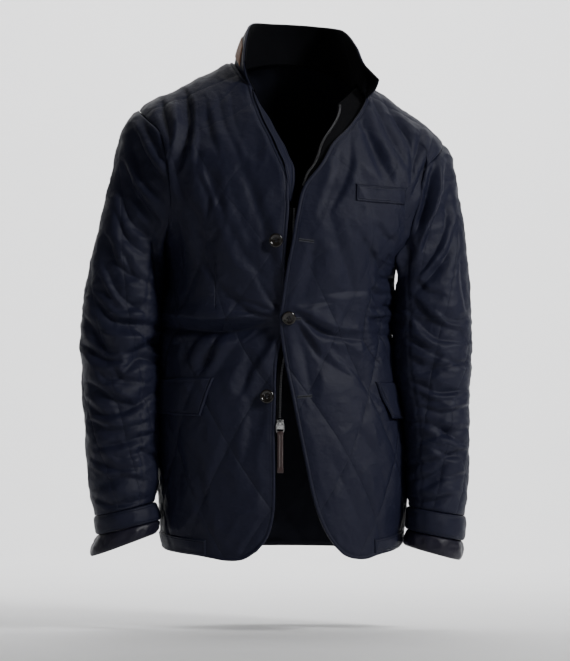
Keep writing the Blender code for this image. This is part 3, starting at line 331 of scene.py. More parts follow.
def shell(name, outer, inner, surface, uv, values=None, closed=False, inside=None):
    """A closed skin between two grids of points; closed joins the first and last column."""
    columns, rows = outer.shape[0] - 1, outer.shape[1] - 1
    bm = bmesh.new()
    bmesh.ops.create_grid(bm, x_segments=columns, y_segments=rows, size=0.5)
    column, row = bm.verts.layers.int.new("column"), bm.verts.layers.int.new("row")
    across, down = bm.faces.layers.int.new("across"), bm.faces.layers.int.new("down")
    for vert in bm.verts:
        vert[column] = round((vert.co.x + 0.5) * columns)
        vert[row] = round((vert.co.y + 0.5) * rows)
        vert.co = inner[vert[column], vert[row]]
    for face in bm.faces:
        face[across] = min(vert[column] for vert in face.verts)
        face[down] = min(vert[row] for vert in face.verts)
    if closed:
        bmesh.ops.remove_doubles(bm, verts=bm.verts[:], dist=1e-6)
    lining = set(bm.faces)
    lifted = bmesh.ops.extrude_face_region(bm, geom=bm.faces[:], use_keep_orig=True)
    for item in lifted["geom"]:
        if isinstance(item, bmesh.types.BMVert):
            item.co = outer[item[column], item[row]]
    bmesh.ops.recalc_face_normals(bm, faces=bm.faces[:])
    cloth = bm.loops.layers.uv.new("cloth")
    for face in bm.faces:
        for loop in face.loops:
            c = loop.vert[column]
            if closed and face[across] == columns - 1 and c == 0:
                c = columns
            loop[cloth].uv = uv[c, loop.vert[row]]
        face.smooth = True
        face.material_index = 1 if inside and face in lining else 0
    mesh = bpy.data.meshes.new(name)
    bm.to_mesh(mesh)
    bm.free()
    made = bpy.data.objects.new(name, mesh)
    bpy.context.scene.collection.objects.link(made)
    mesh.materials.append(surface)
    if inside:
        mesh.materials.append(inside)
    count = len(mesh.vertices)
    place_column, place_row = np.zeros(count, dtype=int), np.zeros(count, dtype=int)
    mesh.attributes["column"].data.foreach_get("value", place_column)
    mesh.attributes["row"].data.foreach_get("value", place_row)
    for key, grid in (values or {}).items():
        layer = mesh.attributes.new(key, "FLOAT_VECTOR", "POINT")
        layer.data.foreach_set("vector", grid[place_column, place_row].astype(np.float32).ravel())
    for extra in ("column", "row", "across", "down"):
        mesh.attributes.remove(mesh.attributes[extra])
    return made


# %% [markdown]
# ## Creases, placed one by one
#
# Worn cloth folds where it is pulled: from the shoulders down the chest, from the fastened button
# outwards, and across the elbows and forearms. Each row of these tables is one crease as seen from the
# front: its depth and width in millimetres (a negative depth is a ridge), and three points x, z of its
# line, in millimetres. `creased` turns a table into a height at every point: a soft trough with a
# shoulder at each side that fades out at both ends.

# %% Tables of creases
RIGHT_FRONT_CREASES = [
    (3.0, 9, -196, -30, -187, -71, -179, -106), (4.8, 11, -157, -22, -152, -70, -167, -140),
    (1.6, 9, -141, -39, -136, -96, -141, -140), (1.8, 9, -127, -34, -122, -77, -108, -121),
    (1.2, 9, -108, -30, -97, -77, -76, -123), (1.0, 10, -89, -23, -84, -65, -67, -109),
    (-2.0, 10, -174, -36, -170, -77, -179, -128), (1.8, 8, -127, -140, -114, -175, -100, -207),
    (1.6, 6, -136, -153, -122, -185, -124, -216), (1.3, 14, -76, -128, -49, -204, -24, -283),
    (1.6, 14, -103, -207, -67, -273, -19, -330), (1.3, 14, -59, -159, -31, -261, -15, -344),
    (1.0, 12, -92, -159, -73, -216, -48, -267), (1.3, 13, -155, -185, -131, -242, -122, -305),
    (1.2, 9, -144, -229, -124, -249, -106, -229), (1.2, 9, -136, -267, -122, -292, -110, -310),
    (6.0, 14, -21, -369, -92, -386, -196, -378), (-4.2, 15, -26, -352, -92, -364, -187, -359),
    (2.6, 14, -21, -376, -72, -393, -122, -460), (2.6, 10, -22, -381, -53, -428, -76, -482),
    (2.0, 9, -21, -368, -62, -354, -110, -312), (2.2, 9, -114, -392, -125, -422, -144, -447),
    (1.6, 7, -136, -387, -152, -407, -158, -433), (-2.0, 12, -29, -393, -48, -425, -60, -457),
    (1.6, 14, -48, -431, -40, -476, -47, -533), (1.4, 14, -67, -476, -59, -526, -73, -589),
    (1.2, 16, -92, -545, -105, -602, -105, -665), (1.4, 12, -179, -204, -165, -267, -162, -330),
    (1.2, 10, -193, -292, -179, -330, -174, -359), (1.4, 12, -174, -526, -167, -583, -168, -646),
    (1.2, 10, -155, -558, -136, -602, -130, -653), (1.6, 10, -16, -330, -19, -355, -19, -374),
    (1.4, 8, -181, -406, -155, -397, -124, -401), (1.5, 10, -179, -115, -168, -159, -155, -191),
    (1.8, 5, -18, -360, -46, -347, -78, -336), (1.9, 5, -20, -364, -52, -358, -88, -352),
    (1.8, 5, -18, -372, -44, -384, -74, -404), (1.7, 5, -16, -376, -32, -402, -52, -438),
    (1.4, 5, -14, -352, -34, -330, -52, -300),
]
LEFT_FRONT_CREASES = [
    (2.8, 9, 124, -28, 155, -96, 181, -144), (2.8, 9, 147, -37, 179, -93, 187, -140),
    (2.0, 9, 101, -53, 124, -110, 139, -156), (1.8, 8, 91, -96, 88, -147, 60, -207),
    (2.6, 8, 200, -75, 194, -109, 181, -166), (2.4, 8, 218, -90, 204, -138, 181, -185),
    (1.8, 9, 115, -77, 136, -123, 156, -166), (1.6, 8, 74, -112, 66, -159, 42, -216),
    (1.5, 12, 60, -204, 77, -267, 98, -324), (1.6, 8, 122, -264, 139, -292, 165, -312),
    (2.0, 8, 120, -324, 142, -344, 163, -354), (1.8, 7, 131, -223, 146, -245, 161, -249),
    (2.6, 9, 6, -357, 60, -390, 112, -397), (-1.8, 10, 9, -348, 66, -376, 112, -383),
    (1.8, 10, 7, -363, 41, -417, 98, -457), (1.6, 9, 6, -352, 53, -330, 120, -324),
    (1.8, 8, 120, -367, 139, -372, 161, -373), (1.8, 8, 123, -386, 143, -391, 163, -393),
    (1.6, 10, 4, -369, 22, -425, 34, -495), (1.4, 9, 4, -348, 22, -305, 42, -242),
    (1.5, 12, 60, -406, 110, -457, 158, -510), (1.4, 8, 126, -292, 145, -308, 165, -333),
    (1.2, 14, 98, -526, 136, -583, 155, -646), (1.2, 14, 60, -570, 91, -634, 110, -691),
    (1.4, 10, 161, -191, 169, -229, 165, -267), (1.6, 9, 169, -166, 175, -216, 171, -267),
    (-1.5, 10, 34, -374, 85, -401, 117, -425), (1.2, 9, 98, -229, 120, -267, 124, -305),
    (1.3, 10, 28, -242, 34, -292, 15, -343), (1.9, 5, 20, -364, 44, -383, 74, -393),
    (1.5, 5, 12, -372, 30, -398, 46, -428), (1.3, 5, 16, -352, 40, -343, 66, -341),
    (1.6, 5, 128, -300, 144, -306, 158, -303), (1.6, 5, 122, -322, 138, -330, 156, -326),
    (1.7, 5, 118, -345, 134, -352, 155, -346), (1.4, 5, 116, -362, 132, -366, 152, -362),
]
RIGHT_SLEEVE_CREASES = [
    (3.4, 9, -226, -53, -209, -96, -189, -131), (3.4, 9, -236, -75, -219, -123, -191, -156),
    (3.0, 9, -241, -101, -225, -152, -194, -188), (2.8, 9, -250, -128, -236, -173, -197, -220),
    (2.4, 9, -258, -166, -243, -213, -210, -245), (2.2, 9, -264, -204, -246, -245, -216, -271),
    (2.4, 9, -275, -242, -262, -281, -227, -307), (2.4, 9, -283, -281, -256, -330, -215, -357),
    (1.8, 8, -250, -267, -234, -299, -205, -315), (3.4, 10, -297, -330, -263, -369, -197, -376),
    (2.8, 9, -308, -363, -278, -411, -255, -415), (2.8, 9, -256, -420, -221, -410, -194, -386),
    (2.8, 8, -312, -405, -282, -426, -249, -428), (2.4, 8, -251, -447, -225, -425, -198, -433),
    (2.2, 8, -303, -460, -263, -486, -229, -496), (2.4, 8, -283, -510, -240, -502, -203, -474),
    (2.2, 8, -297, -519, -262, -534, -216, -520), (2.6, 8, -291, -560, -255, -552, -208, -538),
    (2.2, 8, -296, -576, -263, -591, -227, -588), (2.2, 8, -289, -616, -255, -602, -215, -610),
    (2.0, 8, -292, -635, -262, -646, -216, -636), (1.8, 7, -274, -343, -250, -352, -221, -342),
    (1.8, 7, -264, -438, -250, -457, -221, -460), (1.8, 7, -288, -444, -275, -457, -250, -450),
    (1.8, 7, -227, -558, -212, -570, -198, -567), (1.6, 7, -269, -570, -250, -574, -219, -564),
    (1.8, 8, -208, -242, -202, -292, -198, -343), (2.0, 8, -284, -305, -274, -330, -256, -345),
    (1.6, 7, -231, -381, -215, -397, -198, -406), (-2.0, 10, -219, -77, -205, -109, -189, -140),
    (-1.8, 9, -282, -387, -250, -393, -212, -393), (1.6, 7, -301, -495, -284, -510, -262, -514),
]
LEFT_SLEEVE_CREASES = [
    (3.2, 9, 203, -91, 196, -140, 185, -191), (3.2, 9, 219, -108, 212, -172, 191, -232),
    (3.2, 9, 234, -135, 229, -191, 198, -268), (2.8, 9, 244, -172, 237, -232, 198, -295),
    (2.2, 8, 252, -216, 239, -267, 194, -320), (-2.0, 9, 225, -121, 220, -178, 196, -248),
    (2.2, 8, 187, -333, 214, -368, 263, -386), (2.2, 8, 181, -358, 217, -393, 267, -401),
    (2.6, 8, 180, -391, 206, -414, 252, -433), (2.4, 8, 191, -447, 224, -439, 270, -430),
    (2.6, 8, 185, -459, 224, -476, 270, -471), (2.2, 8, 190, -496, 230, -507, 272, -496),
    (2.6, 8, 185, -520, 218, -527, 263, -553), (2.2, 8, 193, -552, 224, -540, 266, -531),
    (2.2, 8, 185, -584, 224, -577, 263, -563), (2.0, 8, 198, -622, 230, -605, 263, -601),
    (1.8, 7, 186, -608, 212, -602, 237, -583), (2.0, 8, 184, -425, 203, -435, 225, -425),
    (1.8, 7, 224, -355, 247, -368, 270, -363), (1.8, 7, 193, -476, 212, -488, 243, -487),
    (1.6, 7, 212, -558, 237, -570, 265, -573), (1.8, 7, 184, -634, 212, -640, 243, -631),
    (-1.8, 9, 186, -406, 224, -425, 267, -444), (1.6, 8, 256, -267, 263, -318, 267, -355),
    (1.6, 7, 190, -305, 205, -324, 232, -330),
]


def distance_to(points, path):
    """Distance from 2-D points to a polyline, the share of its length at the nearest place, and the side."""
    best = np.full(len(points), 1e9)
    share, side = np.zeros(len(points)), np.ones(len(points))
    length = lengths_along(path)
    for i in range(len(path) - 1):
        step = path[i + 1] - path[i]
        t = np.clip(((points - path[i]) @ step) / max(step @ step, 1e-12), 0, 1)
        away = points - (path[i] + t[:, None] * step)
        far = np.hypot(away[:, 0], away[:, 1])
        nearer = far < best
        best = np.where(nearer, far, best)
        share = np.where(nearer, (length[i] + t * (length[i + 1] - length[i])) / length[-1], share)
        side = np.where(nearer, np.sign(step[0] * away[:, 1] - step[1] * away[:, 0]), side)
    return best, share, side


def creased(seen, table, strength=2.1):
    """Height of the cloth at points x, z for a table of creases."""
    flat = seen.reshape(-1, 2)
    height = np.zeros(len(flat))
    for number, (depth, width, *line) in enumerate(table):
        path = np.array(line, dtype=float).reshape(3, 2) / 1000
        path = spline(path, np.linspace(0, 2, 9))
        near = np.all((flat > path.min(0) - 0.05) & (flat < path.max(0) + 0.05), axis=1)
        if not near.any():
            continue
        far, share, side = distance_to(flat[near], path)
        wide = width / 1000 * (0.45 + 0.60 * np.sin(math.pi * np.clip(share, 0, 1)) ** 0.8)
        leaning = 0.5 * math.sin(2.4 * number)
        r = far / wide * (1 + leaning * side)
        trough = (1 - 0.45 * r**2) * np.exp(-0.60 * r**2) + 0.35 * np.exp(-5 * r)
        fade_out = np.clip(np.sin(math.pi * np.clip(share, 0.02, 0.98)), 0, 1) ** 0.55
        height[near] -= strength * depth / 1000 * trough * fade_out
    return height.reshape(seen.shape[:-1])


def rough(points, scale, seed=0.0):
    """Smooth noise from -1 to 1 at points, with a scale for each axis in metres."""
    flat = points.reshape(-1, 3) / np.array(scale) + seed
    return np.array([noise.noise(Vector(p)) for p in flat]).reshape(points.shape[:-1])


def crumpled(points, scale, seed=0.0):
    """Noise with sharp crests, as in crumpled cloth, from about -0.6 to 0.4."""
    bent = points + 0.35 * np.array(scale) * rough(points, np.array(scale) * 1.7, seed + 9.0)[..., None]
    return 0.4 - 1.6 * np.abs(rough(bent, scale, seed)) ** 0.8


tables = (RIGHT_FRONT_CREASES, LEFT_FRONT_CREASES, RIGHT_SLEEVE_CREASES, LEFT_SLEEVE_CREASES)
print("creases:", [len(table) for table in tables])

# %% [markdown]
# ## Quilting
#
# The coat is quilted in tall diamonds: two families of single stitch lines that cross. Between the lines
# the padding stands up in a soft pillow, and the thread puckers the cloth along each line. The two family
# coordinates are whole numbers on the lines, so one formula gives the pillows and the material can draw
# the thread.

# %% Pillows and puckers
QUILT_ACROSS, QUILT_DOWN = 0.100, 0.190
PILLOW_REACH, PILLOW_LEVEL = 0.0055, 0.75
PUCKER_HIGH, PUCKER_REACH = 0.00035, 0.009
LINE_APART = QUILT_ACROSS * QUILT_DOWN / math.hypot(QUILT_ACROSS, QUILT_DOWN)
LINE_UNIT = math.hypot(QUILT_ACROSS, QUILT_DOWN) / 2


def quilting(across, down, phase_a, phase_b, weight, height):
    """The pillows' height, and (a, b, weight) for the material; across and down are metres on the cloth."""
    a = across / QUILT_ACROSS + down / QUILT_DOWN + phase_a
    b = across / QUILT_ACROSS - down / QUILT_DOWN + phase_b
    to_a = np.abs(a - np.round(a)) * LINE_APART
    to_b = np.abs(b - np.round(b)) * LINE_APART
    pillow = (1 - np.exp(-to_a / PILLOW_REACH)) * (1 - np.exp(-to_b / PILLOW_REACH))
    waves_a = np.sin(b * LINE_UNIT * 2 / 0.0026 + 3 * np.sin(b * 9)) * np.sin(b * 21 + a)
    waves_b = np.sin(a * LINE_UNIT * 2 / 0.0029 + 3 * np.sin(a * 8)) * np.sin(a * 17 + b)
    pucker = np.exp(-to_a / PUCKER_REACH) * waves_a + np.exp(-to_b / PUCKER_REACH) * waves_b
    rise = weight * (height * (pillow - PILLOW_LEVEL) + PUCKER_HIGH * pucker)
    return rise, np.stack([a, b, weight], axis=-1)


def smooth_step(low, high, value):
    f = np.clip((value - low) / (high - low), 0, 1)
    return f * f * (3 - 2 * f)


def bell(distance, reach):
    """1 at distance 0, falling smoothly to nearly 0 at twice the reach."""
    return np.exp(-((distance / reach) ** 2))


def unquilted(like):
    """The material's quilting numbers for a piece with no quilting, as many as like has."""
    return np.stack([0 * like + 0.5, 0 * like + 0.5, 0 * like], axis=-1)


print("quilt lines are", round(LINE_APART * 1000, 1), "mm apart")

# %% [markdown]
# ## Finishes
#
# A finish is more than a colour: the navy cloth is a fine twill with a low gloss, small crumples and sewn
# lines. `Graph` keeps the node code short: each method adds one node and gives back its output. Heights
# are in metres and feed one Bump node with a distance of 1, so a 0.3 mm groove in the pattern is shaded
# as a real 0.3 mm groove.

# %% A short way to build node materials
class Graph:
    def __init__(self, name):
        self.material = bpy.data.materials.new(name)
        self.material.use_nodes = True
        self.tree = self.material.node_tree
        self.shader = self.tree.nodes["Principled BSDF"]

    def node(self, kind, **inputs):
        made = self.tree.nodes.new(kind)
        for key, value in inputs.items():
            self.put(made.inputs[key.replace("_", " ")], value)
        return made

    def put(self, socket, value):
        if isinstance(value, bpy.types.NodeSocket):
            self.tree.links.new(value, socket)
        else:
            socket.default_value = value

    def calc(self, operation, first, second=0.0):
        made = self.tree.nodes.new("ShaderNodeMath")
        made.operation = operation
        for socket, value in zip(made.inputs, (first, second)):
            self.put(socket, value)
        return made.outputs[0]

    def times(self, first, second):
        return self.calc("MULTIPLY", first, second)

    def plus(self, first, second):
        return self.calc("ADD", first, second)

    def coordinates(self):
        return self.tree.nodes.new("ShaderNodeTexCoord").outputs["Object"]

    def uv(self):
        made = self.tree.nodes.new("ShaderNodeUVMap")
        made.uv_map = "cloth"
        return made.outputs[0]

    def attribute(self, name):
        made = self.tree.nodes.new("ShaderNodeAttribute")
        made.attribute_name = name
        return self.node("ShaderNodeSeparateXYZ", Vector=made.outputs["Vector"]).outputs

    def noise(self, vector, scale, detail=2.0, roughness=0.5):
        made = self.node("ShaderNodeTexNoise", Vector=vector, Scale=scale, Detail=detail, Roughness=roughness)
        return made.outputs["Fac"]

    def stretched(self, vector, x, y, z):
        made = self.tree.nodes.new("ShaderNodeVectorMath")
        made.operation = "MULTIPLY"
        self.put(made.inputs[0], vector)
        made.inputs[1].default_value = (x, y, z)
        return made.outputs[0]

    def mix(self, share, first, second):
        made = self.tree.nodes.new("ShaderNodeMix")
        made.data_type = "RGBA"
        self.put(made.inputs[0], share)
        for socket, value in ((made.inputs[6], first), (made.inputs[7], second)):
            self.put(socket, value if isinstance(value, bpy.types.NodeSocket) else (*value, 1.0))
        return made.outputs[2]

    def bump(self, height, strength=1.0):
        made = self.node("ShaderNodeBump", Strength=strength, Distance=1.0, Height=height)
        self.tree.links.new(made.outputs[0], self.shader.inputs["Normal"])

    def line(self, distance, wide):
        """1 on a line and 0 away from it, for a distance in metres."""
        ratio = self.calc("DIVIDE", distance, wide)
        return self.calc("POWER", 2.718, self.times(self.times(ratio, ratio), -1.0))

    def dashes(self, along, pitch, share=0.62):
        """1 on the stitches of a thread and 0 between them."""
        part = self.calc("FRACT", self.calc("DIVIDE", along, pitch))
        return self.calc("LESS_THAN", part, share)

    def set(self, **values):
        for key, value in values.items():
            self.put(self.shader.inputs[key.replace("_", " ")], value)


def twill(graph, pitch=0.0009, height=0.00003):
    """The fine slanted ribs of a twill, in metres."""
    parts = graph.node("ShaderNodeSeparateXYZ", Vector=graph.uv()).outputs
    slant = graph.plus(parts[0], graph.times(parts[1], 0.6))
    wave = graph.calc("SINE", graph.times(slant, 2 * math.pi / pitch))
    thread = graph.calc("SINE", graph.times(parts[1], 2 * math.pi / (0.8 * pitch)))
    return graph.times(graph.plus(wave, graph.times(thread, 0.5)), height)


# %% [markdown]
# The navy cloth: twill, crumples of two sizes, the quilting thread from the `quilt` numbers and the
# topstitch from the `hem` numbers, and the seams of the darts from the `dart` numbers. Its colour is a
# little lighter on worn places and darker in the stitched grooves, where light hardly reaches.

# %% Navy quilted cloth
NAVY, NAVY_WORN, THREAD = (0.0080, 0.0090, 0.0210), (0.0106, 0.0118, 0.0262), (0.0205, 0.0225, 0.0400)
IN_GROOVE = (0.003, 0.004, 0.009)
THREAD_WIDE, THREAD_HIGH = 0.00035, 0.00022
QUILT_STITCH, TOP_STITCH = 0.0034, 0.0030
QUILT_GROOVE_WIDE, QUILT_GROOVE_DEEP = 0.0011, 0.00040
SEAM_GROOVE_WIDE = 0.0009
BIG_CRUMPLE, SMALL_CRUMPLE = 0.0022, 0.0003


def quilt_lines(graph, quilt):
    """The grooves and the thread of both families of quilting lines."""
    grooves, threads = 0.0, 0.0
    for here, other in ((quilt[0], quilt[1]), (quilt[1], quilt[0])):
        nearest = graph.calc("ROUND", here)
        distance = graph.times(graph.calc("ABSOLUTE", graph.calc("SUBTRACT", here, nearest)), LINE_APART)
        along = graph.times(other, LINE_UNIT)
        stitches = graph.dashes(along, QUILT_STITCH)
        grooves = graph.plus(grooves, graph.line(distance, QUILT_GROOVE_WIDE))
        threads = graph.plus(threads, graph.times(graph.line(distance, THREAD_WIDE), stitches))
    return graph.times(grooves, quilt[2]), graph.times(threads, quilt[2])


def navy_cloth(name, stitch_in=0.0052, crumple=1.0, roughness=0.52, stitch_deep=0.0006):
    graph = Graph(name)
    spot = graph.coordinates()
    quilt, hem = graph.attribute("quilt"), graph.attribute("hem")
    grooves, threads = quilt_lines(graph, quilt)
    from_stitch = graph.calc("ABSOLUTE", graph.calc("SUBTRACT", hem[0], stitch_in))
    top_groove = graph.times(graph.line(from_stitch, SEAM_GROOVE_WIDE), hem[2])
    top_thread = graph.times(graph.line(from_stitch, THREAD_WIDE), graph.dashes(hem[1], TOP_STITCH))
    threads = graph.plus(threads, graph.times(top_thread, hem[2]))
    dart = graph.attribute("dart")
    top_groove = graph.plus(top_groove, graph.times(graph.line(dart[0], SEAM_GROOVE_WIDE), dart[2]))
    big = graph.noise(graph.stretched(spot, 26, 26, 34), 1.0, 3.0, 0.55)
    small = graph.noise(graph.stretched(spot, 90, 90, 120), 1.0, 2.0, 0.6)
    height = graph.times(big, BIG_CRUMPLE * crumple)
    for part, high in (
        (small, SMALL_CRUMPLE * crumple), (grooves, -QUILT_GROOVE_DEEP), (top_groove, -stitch_deep),
        (threads, THREAD_HIGH),
    ):
        height = graph.plus(height, graph.times(part, high))
    graph.bump(graph.plus(height, twill(graph)))
    worn = graph.times(graph.noise(spot, 9.0, 4.0, 0.6), 0.75)
    color = graph.mix(worn, NAVY, NAVY_WORN)
    color = graph.mix(graph.times(grooves, 0.25), color, IN_GROOVE)
    color = graph.mix(graph.times(graph.calc("MINIMUM", top_groove, 1.0), 0.4), color, IN_GROOVE)
    color = graph.mix(graph.calc("MINIMUM", graph.times(threads, 0.55), 1.0), color, THREAD)
    gloss = graph.plus(roughness - 0.06, graph.times(graph.noise(spot, 40.0), 0.12))
    graph.set(Base_Color=color, Roughness=gloss, Specular_IOR_Level=0.16)
    return graph.material


COAT = navy_cloth("coat_cloth")
print("cloth material:", COAT.name, len(COAT.node_tree.nodes), "nodes")

# %% [markdown]
# The inner cuff is a smoother purple-navy nylon, the inside of the collar a black corduroy with ribs, and
# the patch on the collar a tan suede with a mottled nap. Zip tape is woven in a herringbone.

# %% The other cloths and leathers
def plain_finish(name, color, other, roughness, cell, bump_height, sheen=0.0, metallic=0.0, specular=0.5):
    """Two colours mixed by noise, with a noise bump: the base of most small finishes."""
    graph = Graph(name)
    spot = graph.coordinates()
    grain = graph.noise(spot, 1.0 / cell, 4.0, 0.6)
    graph.bump(graph.times(grain, bump_height))
    graph.set(Base_Color=graph.mix(graph.noise(spot, 0.25 / cell, 3.0), color, other), Metallic=metallic)
    graph.set(Specular_IOR_Level=specular, Sheen_Weight=sheen)
    graph.set(Roughness=graph.plus(roughness - 0.08, graph.times(grain, 0.16)))
    return graph


def nylon():
    purple, lighter = (0.0070, 0.0066, 0.0140), (0.0110, 0.0100, 0.0200)
    graph = plain_finish("cuff_lining", purple, lighter, 0.42, 0.004, 0.0004)
    waves = graph.times(graph.noise(graph.coordinates(), 120.0), 0.0008)
    graph.bump(graph.plus(waves, twill(graph, 0.0007, 0.00001)))
    graph.set(Specular_IOR_Level=0.25)
    return graph.material


def corduroy():
    graph = Graph("black_pile")
    parts = graph.node("ShaderNodeSeparateXYZ", Vector=graph.uv()).outputs
    rib = graph.calc("ABSOLUTE", graph.calc("SINE", graph.times(parts[0], math.pi / 0.0016)))
    nap = graph.noise(graph.coordinates(), 900.0, 2.0)
    graph.bump(graph.plus(graph.times(rib, 0.00035), graph.times(nap, 0.0002)))
    color = graph.mix(graph.times(rib, nap), (0.0015, 0.0016, 0.0022), (0.0050, 0.0054, 0.0075))
    graph.set(Base_Color=color, Roughness=0.95, Specular_IOR_Level=0.05)
    graph.set(Sheen_Weight=0.01, Sheen_Roughness=0.5)
    return graph.material


def tape():
    graph = Graph("black_tape")
    parts = graph.node("ShaderNodeSeparateXYZ", Vector=graph.uv()).outputs
    fold = graph.calc("PINGPONG", parts[0], 0.0018)
    rib = graph.calc("SINE", graph.times(graph.plus(fold, parts[1]), 2 * math.pi / 0.0009))
    graph.bump(graph.times(rib, 0.00006))
    high = graph.times(graph.plus(rib, 1.0), 0.5)
    color = graph.mix(high, (0.0016, 0.0016, 0.0022), (0.0050, 0.0050, 0.0062))
    graph.set(Base_Color=color, Roughness=0.88, Specular_IOR_Level=0.08)
    return graph.material


NYLON, PILE, TAPE = nylon(), corduroy(), tape()
LINING, SUEDE, LEATHER, METAL, TEETH = [
    plain_finish(*sizes, **more).material
    for *sizes, more in (
        ("lining", (0.0040, 0.0048, 0.0095), (0.0065, 0.0075, 0.014), 0.7, 0.003, 0.0003, {"specular": 0.15}),
        ("tan_suede", (0.170, 0.070, 0.026), (0.300, 0.140, 0.060), 0.90, 0.0012, 0.0005, {"sheen": 0.45}),
        ("braided_leather", (0.018, 0.008, 0.008), (0.046, 0.024, 0.022), 0.32, 0.0010, 0.0002, {}),
        ("bright_metal", (0.62, 0.62, 0.61), (0.48, 0.48, 0.48), 0.26, 0.0030, 0.00003, {"metallic": 1.0}),
        ("dark_teeth", (0.20, 0.20, 0.21), (0.09, 0.09, 0.10), 0.36, 0.0008, 0.00003, {"metallic": 1.0}),
    )
]


def horn():
    graph = Graph("dark_horn")
    spot = graph.coordinates()
    streak = graph.noise(graph.stretched(spot, 900, 900, 160), 1.0, 4.0, 0.65)
    color = graph.mix(graph.calc("POWER", streak, 1.5), (0.0020, 0.0018, 0.0016), (0.0160, 0.0115, 0.0085))
    graph.bump(graph.times(streak, 0.00004))
    graph.set(Base_Color=color, Roughness=0.15)
    return graph.material


HORN = horn()
print("finishes:", [m.name for m in (COAT, NYLON, PILE, TAPE, SUEDE, LEATHER, METAL, TEETH, HORN)])

# %% [markdown]
# ## The fronts and the back
#
# Each panel is read from its coarse grid, stands off the form by its pillows and creases, rolls over at
# its edges so that every seam is a real groove, and keeps a plain lining side. The two front edges and
# the hem have a raised roll with a topstitch just inside it. The left front laps over the right one.

# %% Padded panels
THICK = 0.0034
ROUND_BODY = 0.160  # turns an angle round the body into a length of cloth
PILLOW, COARSE_CRUMPLE, FINE_CRUMPLE = 0.0020, 0.0020, 0.0005
CREASE_FADE = 0.022
SEAM_DEEP, SEAM_WIDE, SEAM_LINING = 0.0015, 0.0018, 0.0010
GATHER_HIGH, EDGE_WAVE_HIGH, GATHER_REACH = 0.0006, 0.0003, 0.012
DART_DEEP, DART_WIDE = 0.0012, 0.0040
SIDE_FULL, SIDE_REACH = 0.0034, 0.045
CROWN_DEEP, CROWN_REACH = 0.0012, 0.013
SHOULDER_DEEP, SHOULDER_X, SHOULDER_REACH = 0.0038, 0.185, 0.045
LAPEL_REACH = 0.022
ROLL_HIGH, ROLL_AT, ROLL_WIDE = 0.0011, 0.0024, 0.0020
STITCH_DEEP, STITCH_AT, STITCH_WIDE = 0.0009, 0.0054, 0.0016


def border_distances(points):
    """Distance to the four sides of a grid: first column, last column, first row, last row."""
    across, down = steps_along(points, 0), steps_along(points, 1)
    return across, across[-1:] - across, down, down[:, -1:] - down


def hem_numbers(points, sides):
    """Distance to the stitched sides, length along them and weight, for the material."""
    flat = points.reshape(-1, 3)
    line = np.concatenate(sides)
    length = lengths_along(line)
    best, along = np.full(len(flat), 1.0), np.zeros(len(flat))
    for i in range(0, len(flat), 4000):
        far = np.linalg.norm(flat[i : i + 4000, None, :] - line[None], axis=2)
        nearest = far.argmin(axis=1)
        best[i : i + 4000] = far[np.arange(len(far)), nearest]
        along[i : i + 4000] = length[nearest]
    values = np.stack([best, along, np.ones(len(flat))], axis=-1)
    return values.reshape(*points.shape)


def stands_up(z):
    """1 where the neck edge stands away from the body and 0 below the top button."""
    return smooth_step(-0.195, -0.140, z)


def dart_numbers(seen, darts):
    """Signed distance to the nearest dart seam, length along it and weight, for the material."""
    values = np.zeros((*seen.shape[:2], 3))
    values[..., 0] = 1.0
    flat = values.reshape(-1, 3)
    for line in darts:
        path = spline(np.array(line) / 1000, np.linspace(0, len(line) - 1, 6 * len(line)))
        length = np.linalg.norm(np.diff(path, axis=0), axis=1).sum()
        far, share, side = distance_to(seen.reshape(-1, 2), path)
        inside = np.minimum(share, 1 - share) > 0.002
        near = (far < np.abs(flat[:, 0])) & (inside | (far < 0.0012))
        flat[near] = np.stack([far * side, share * length, np.ones(len(far))], axis=-1)[near]
    return flat.reshape(values.shape)


def gathered(dart, sides, nearest):
    """Small waves that the thread draws up beside a dart and beside the edges."""
    off = np.abs(dart[..., 0])
    along = dart[..., 1]
    gathers = np.sin(along / 0.0017 + 2.5 * np.sin(along / 0.012)) * np.sin(along / 0.0073)
    rise = GATHER_HIGH * gathers * np.exp(-off / GATHER_REACH) * (off < 0.06)
    rise = rise - DART_DEEP * np.exp(-off / DART_WIDE)
    slant = sides[0] / 0.0019 + sides[2] / 0.0023 + 3 * np.sin(sides[2] / 0.017)
    waves = np.sin(slant) * np.sin(sides[2] / 0.0081) * np.exp(-nearest / GATHER_REACH)
    return rise + EDGE_WAVE_HIGH * waves


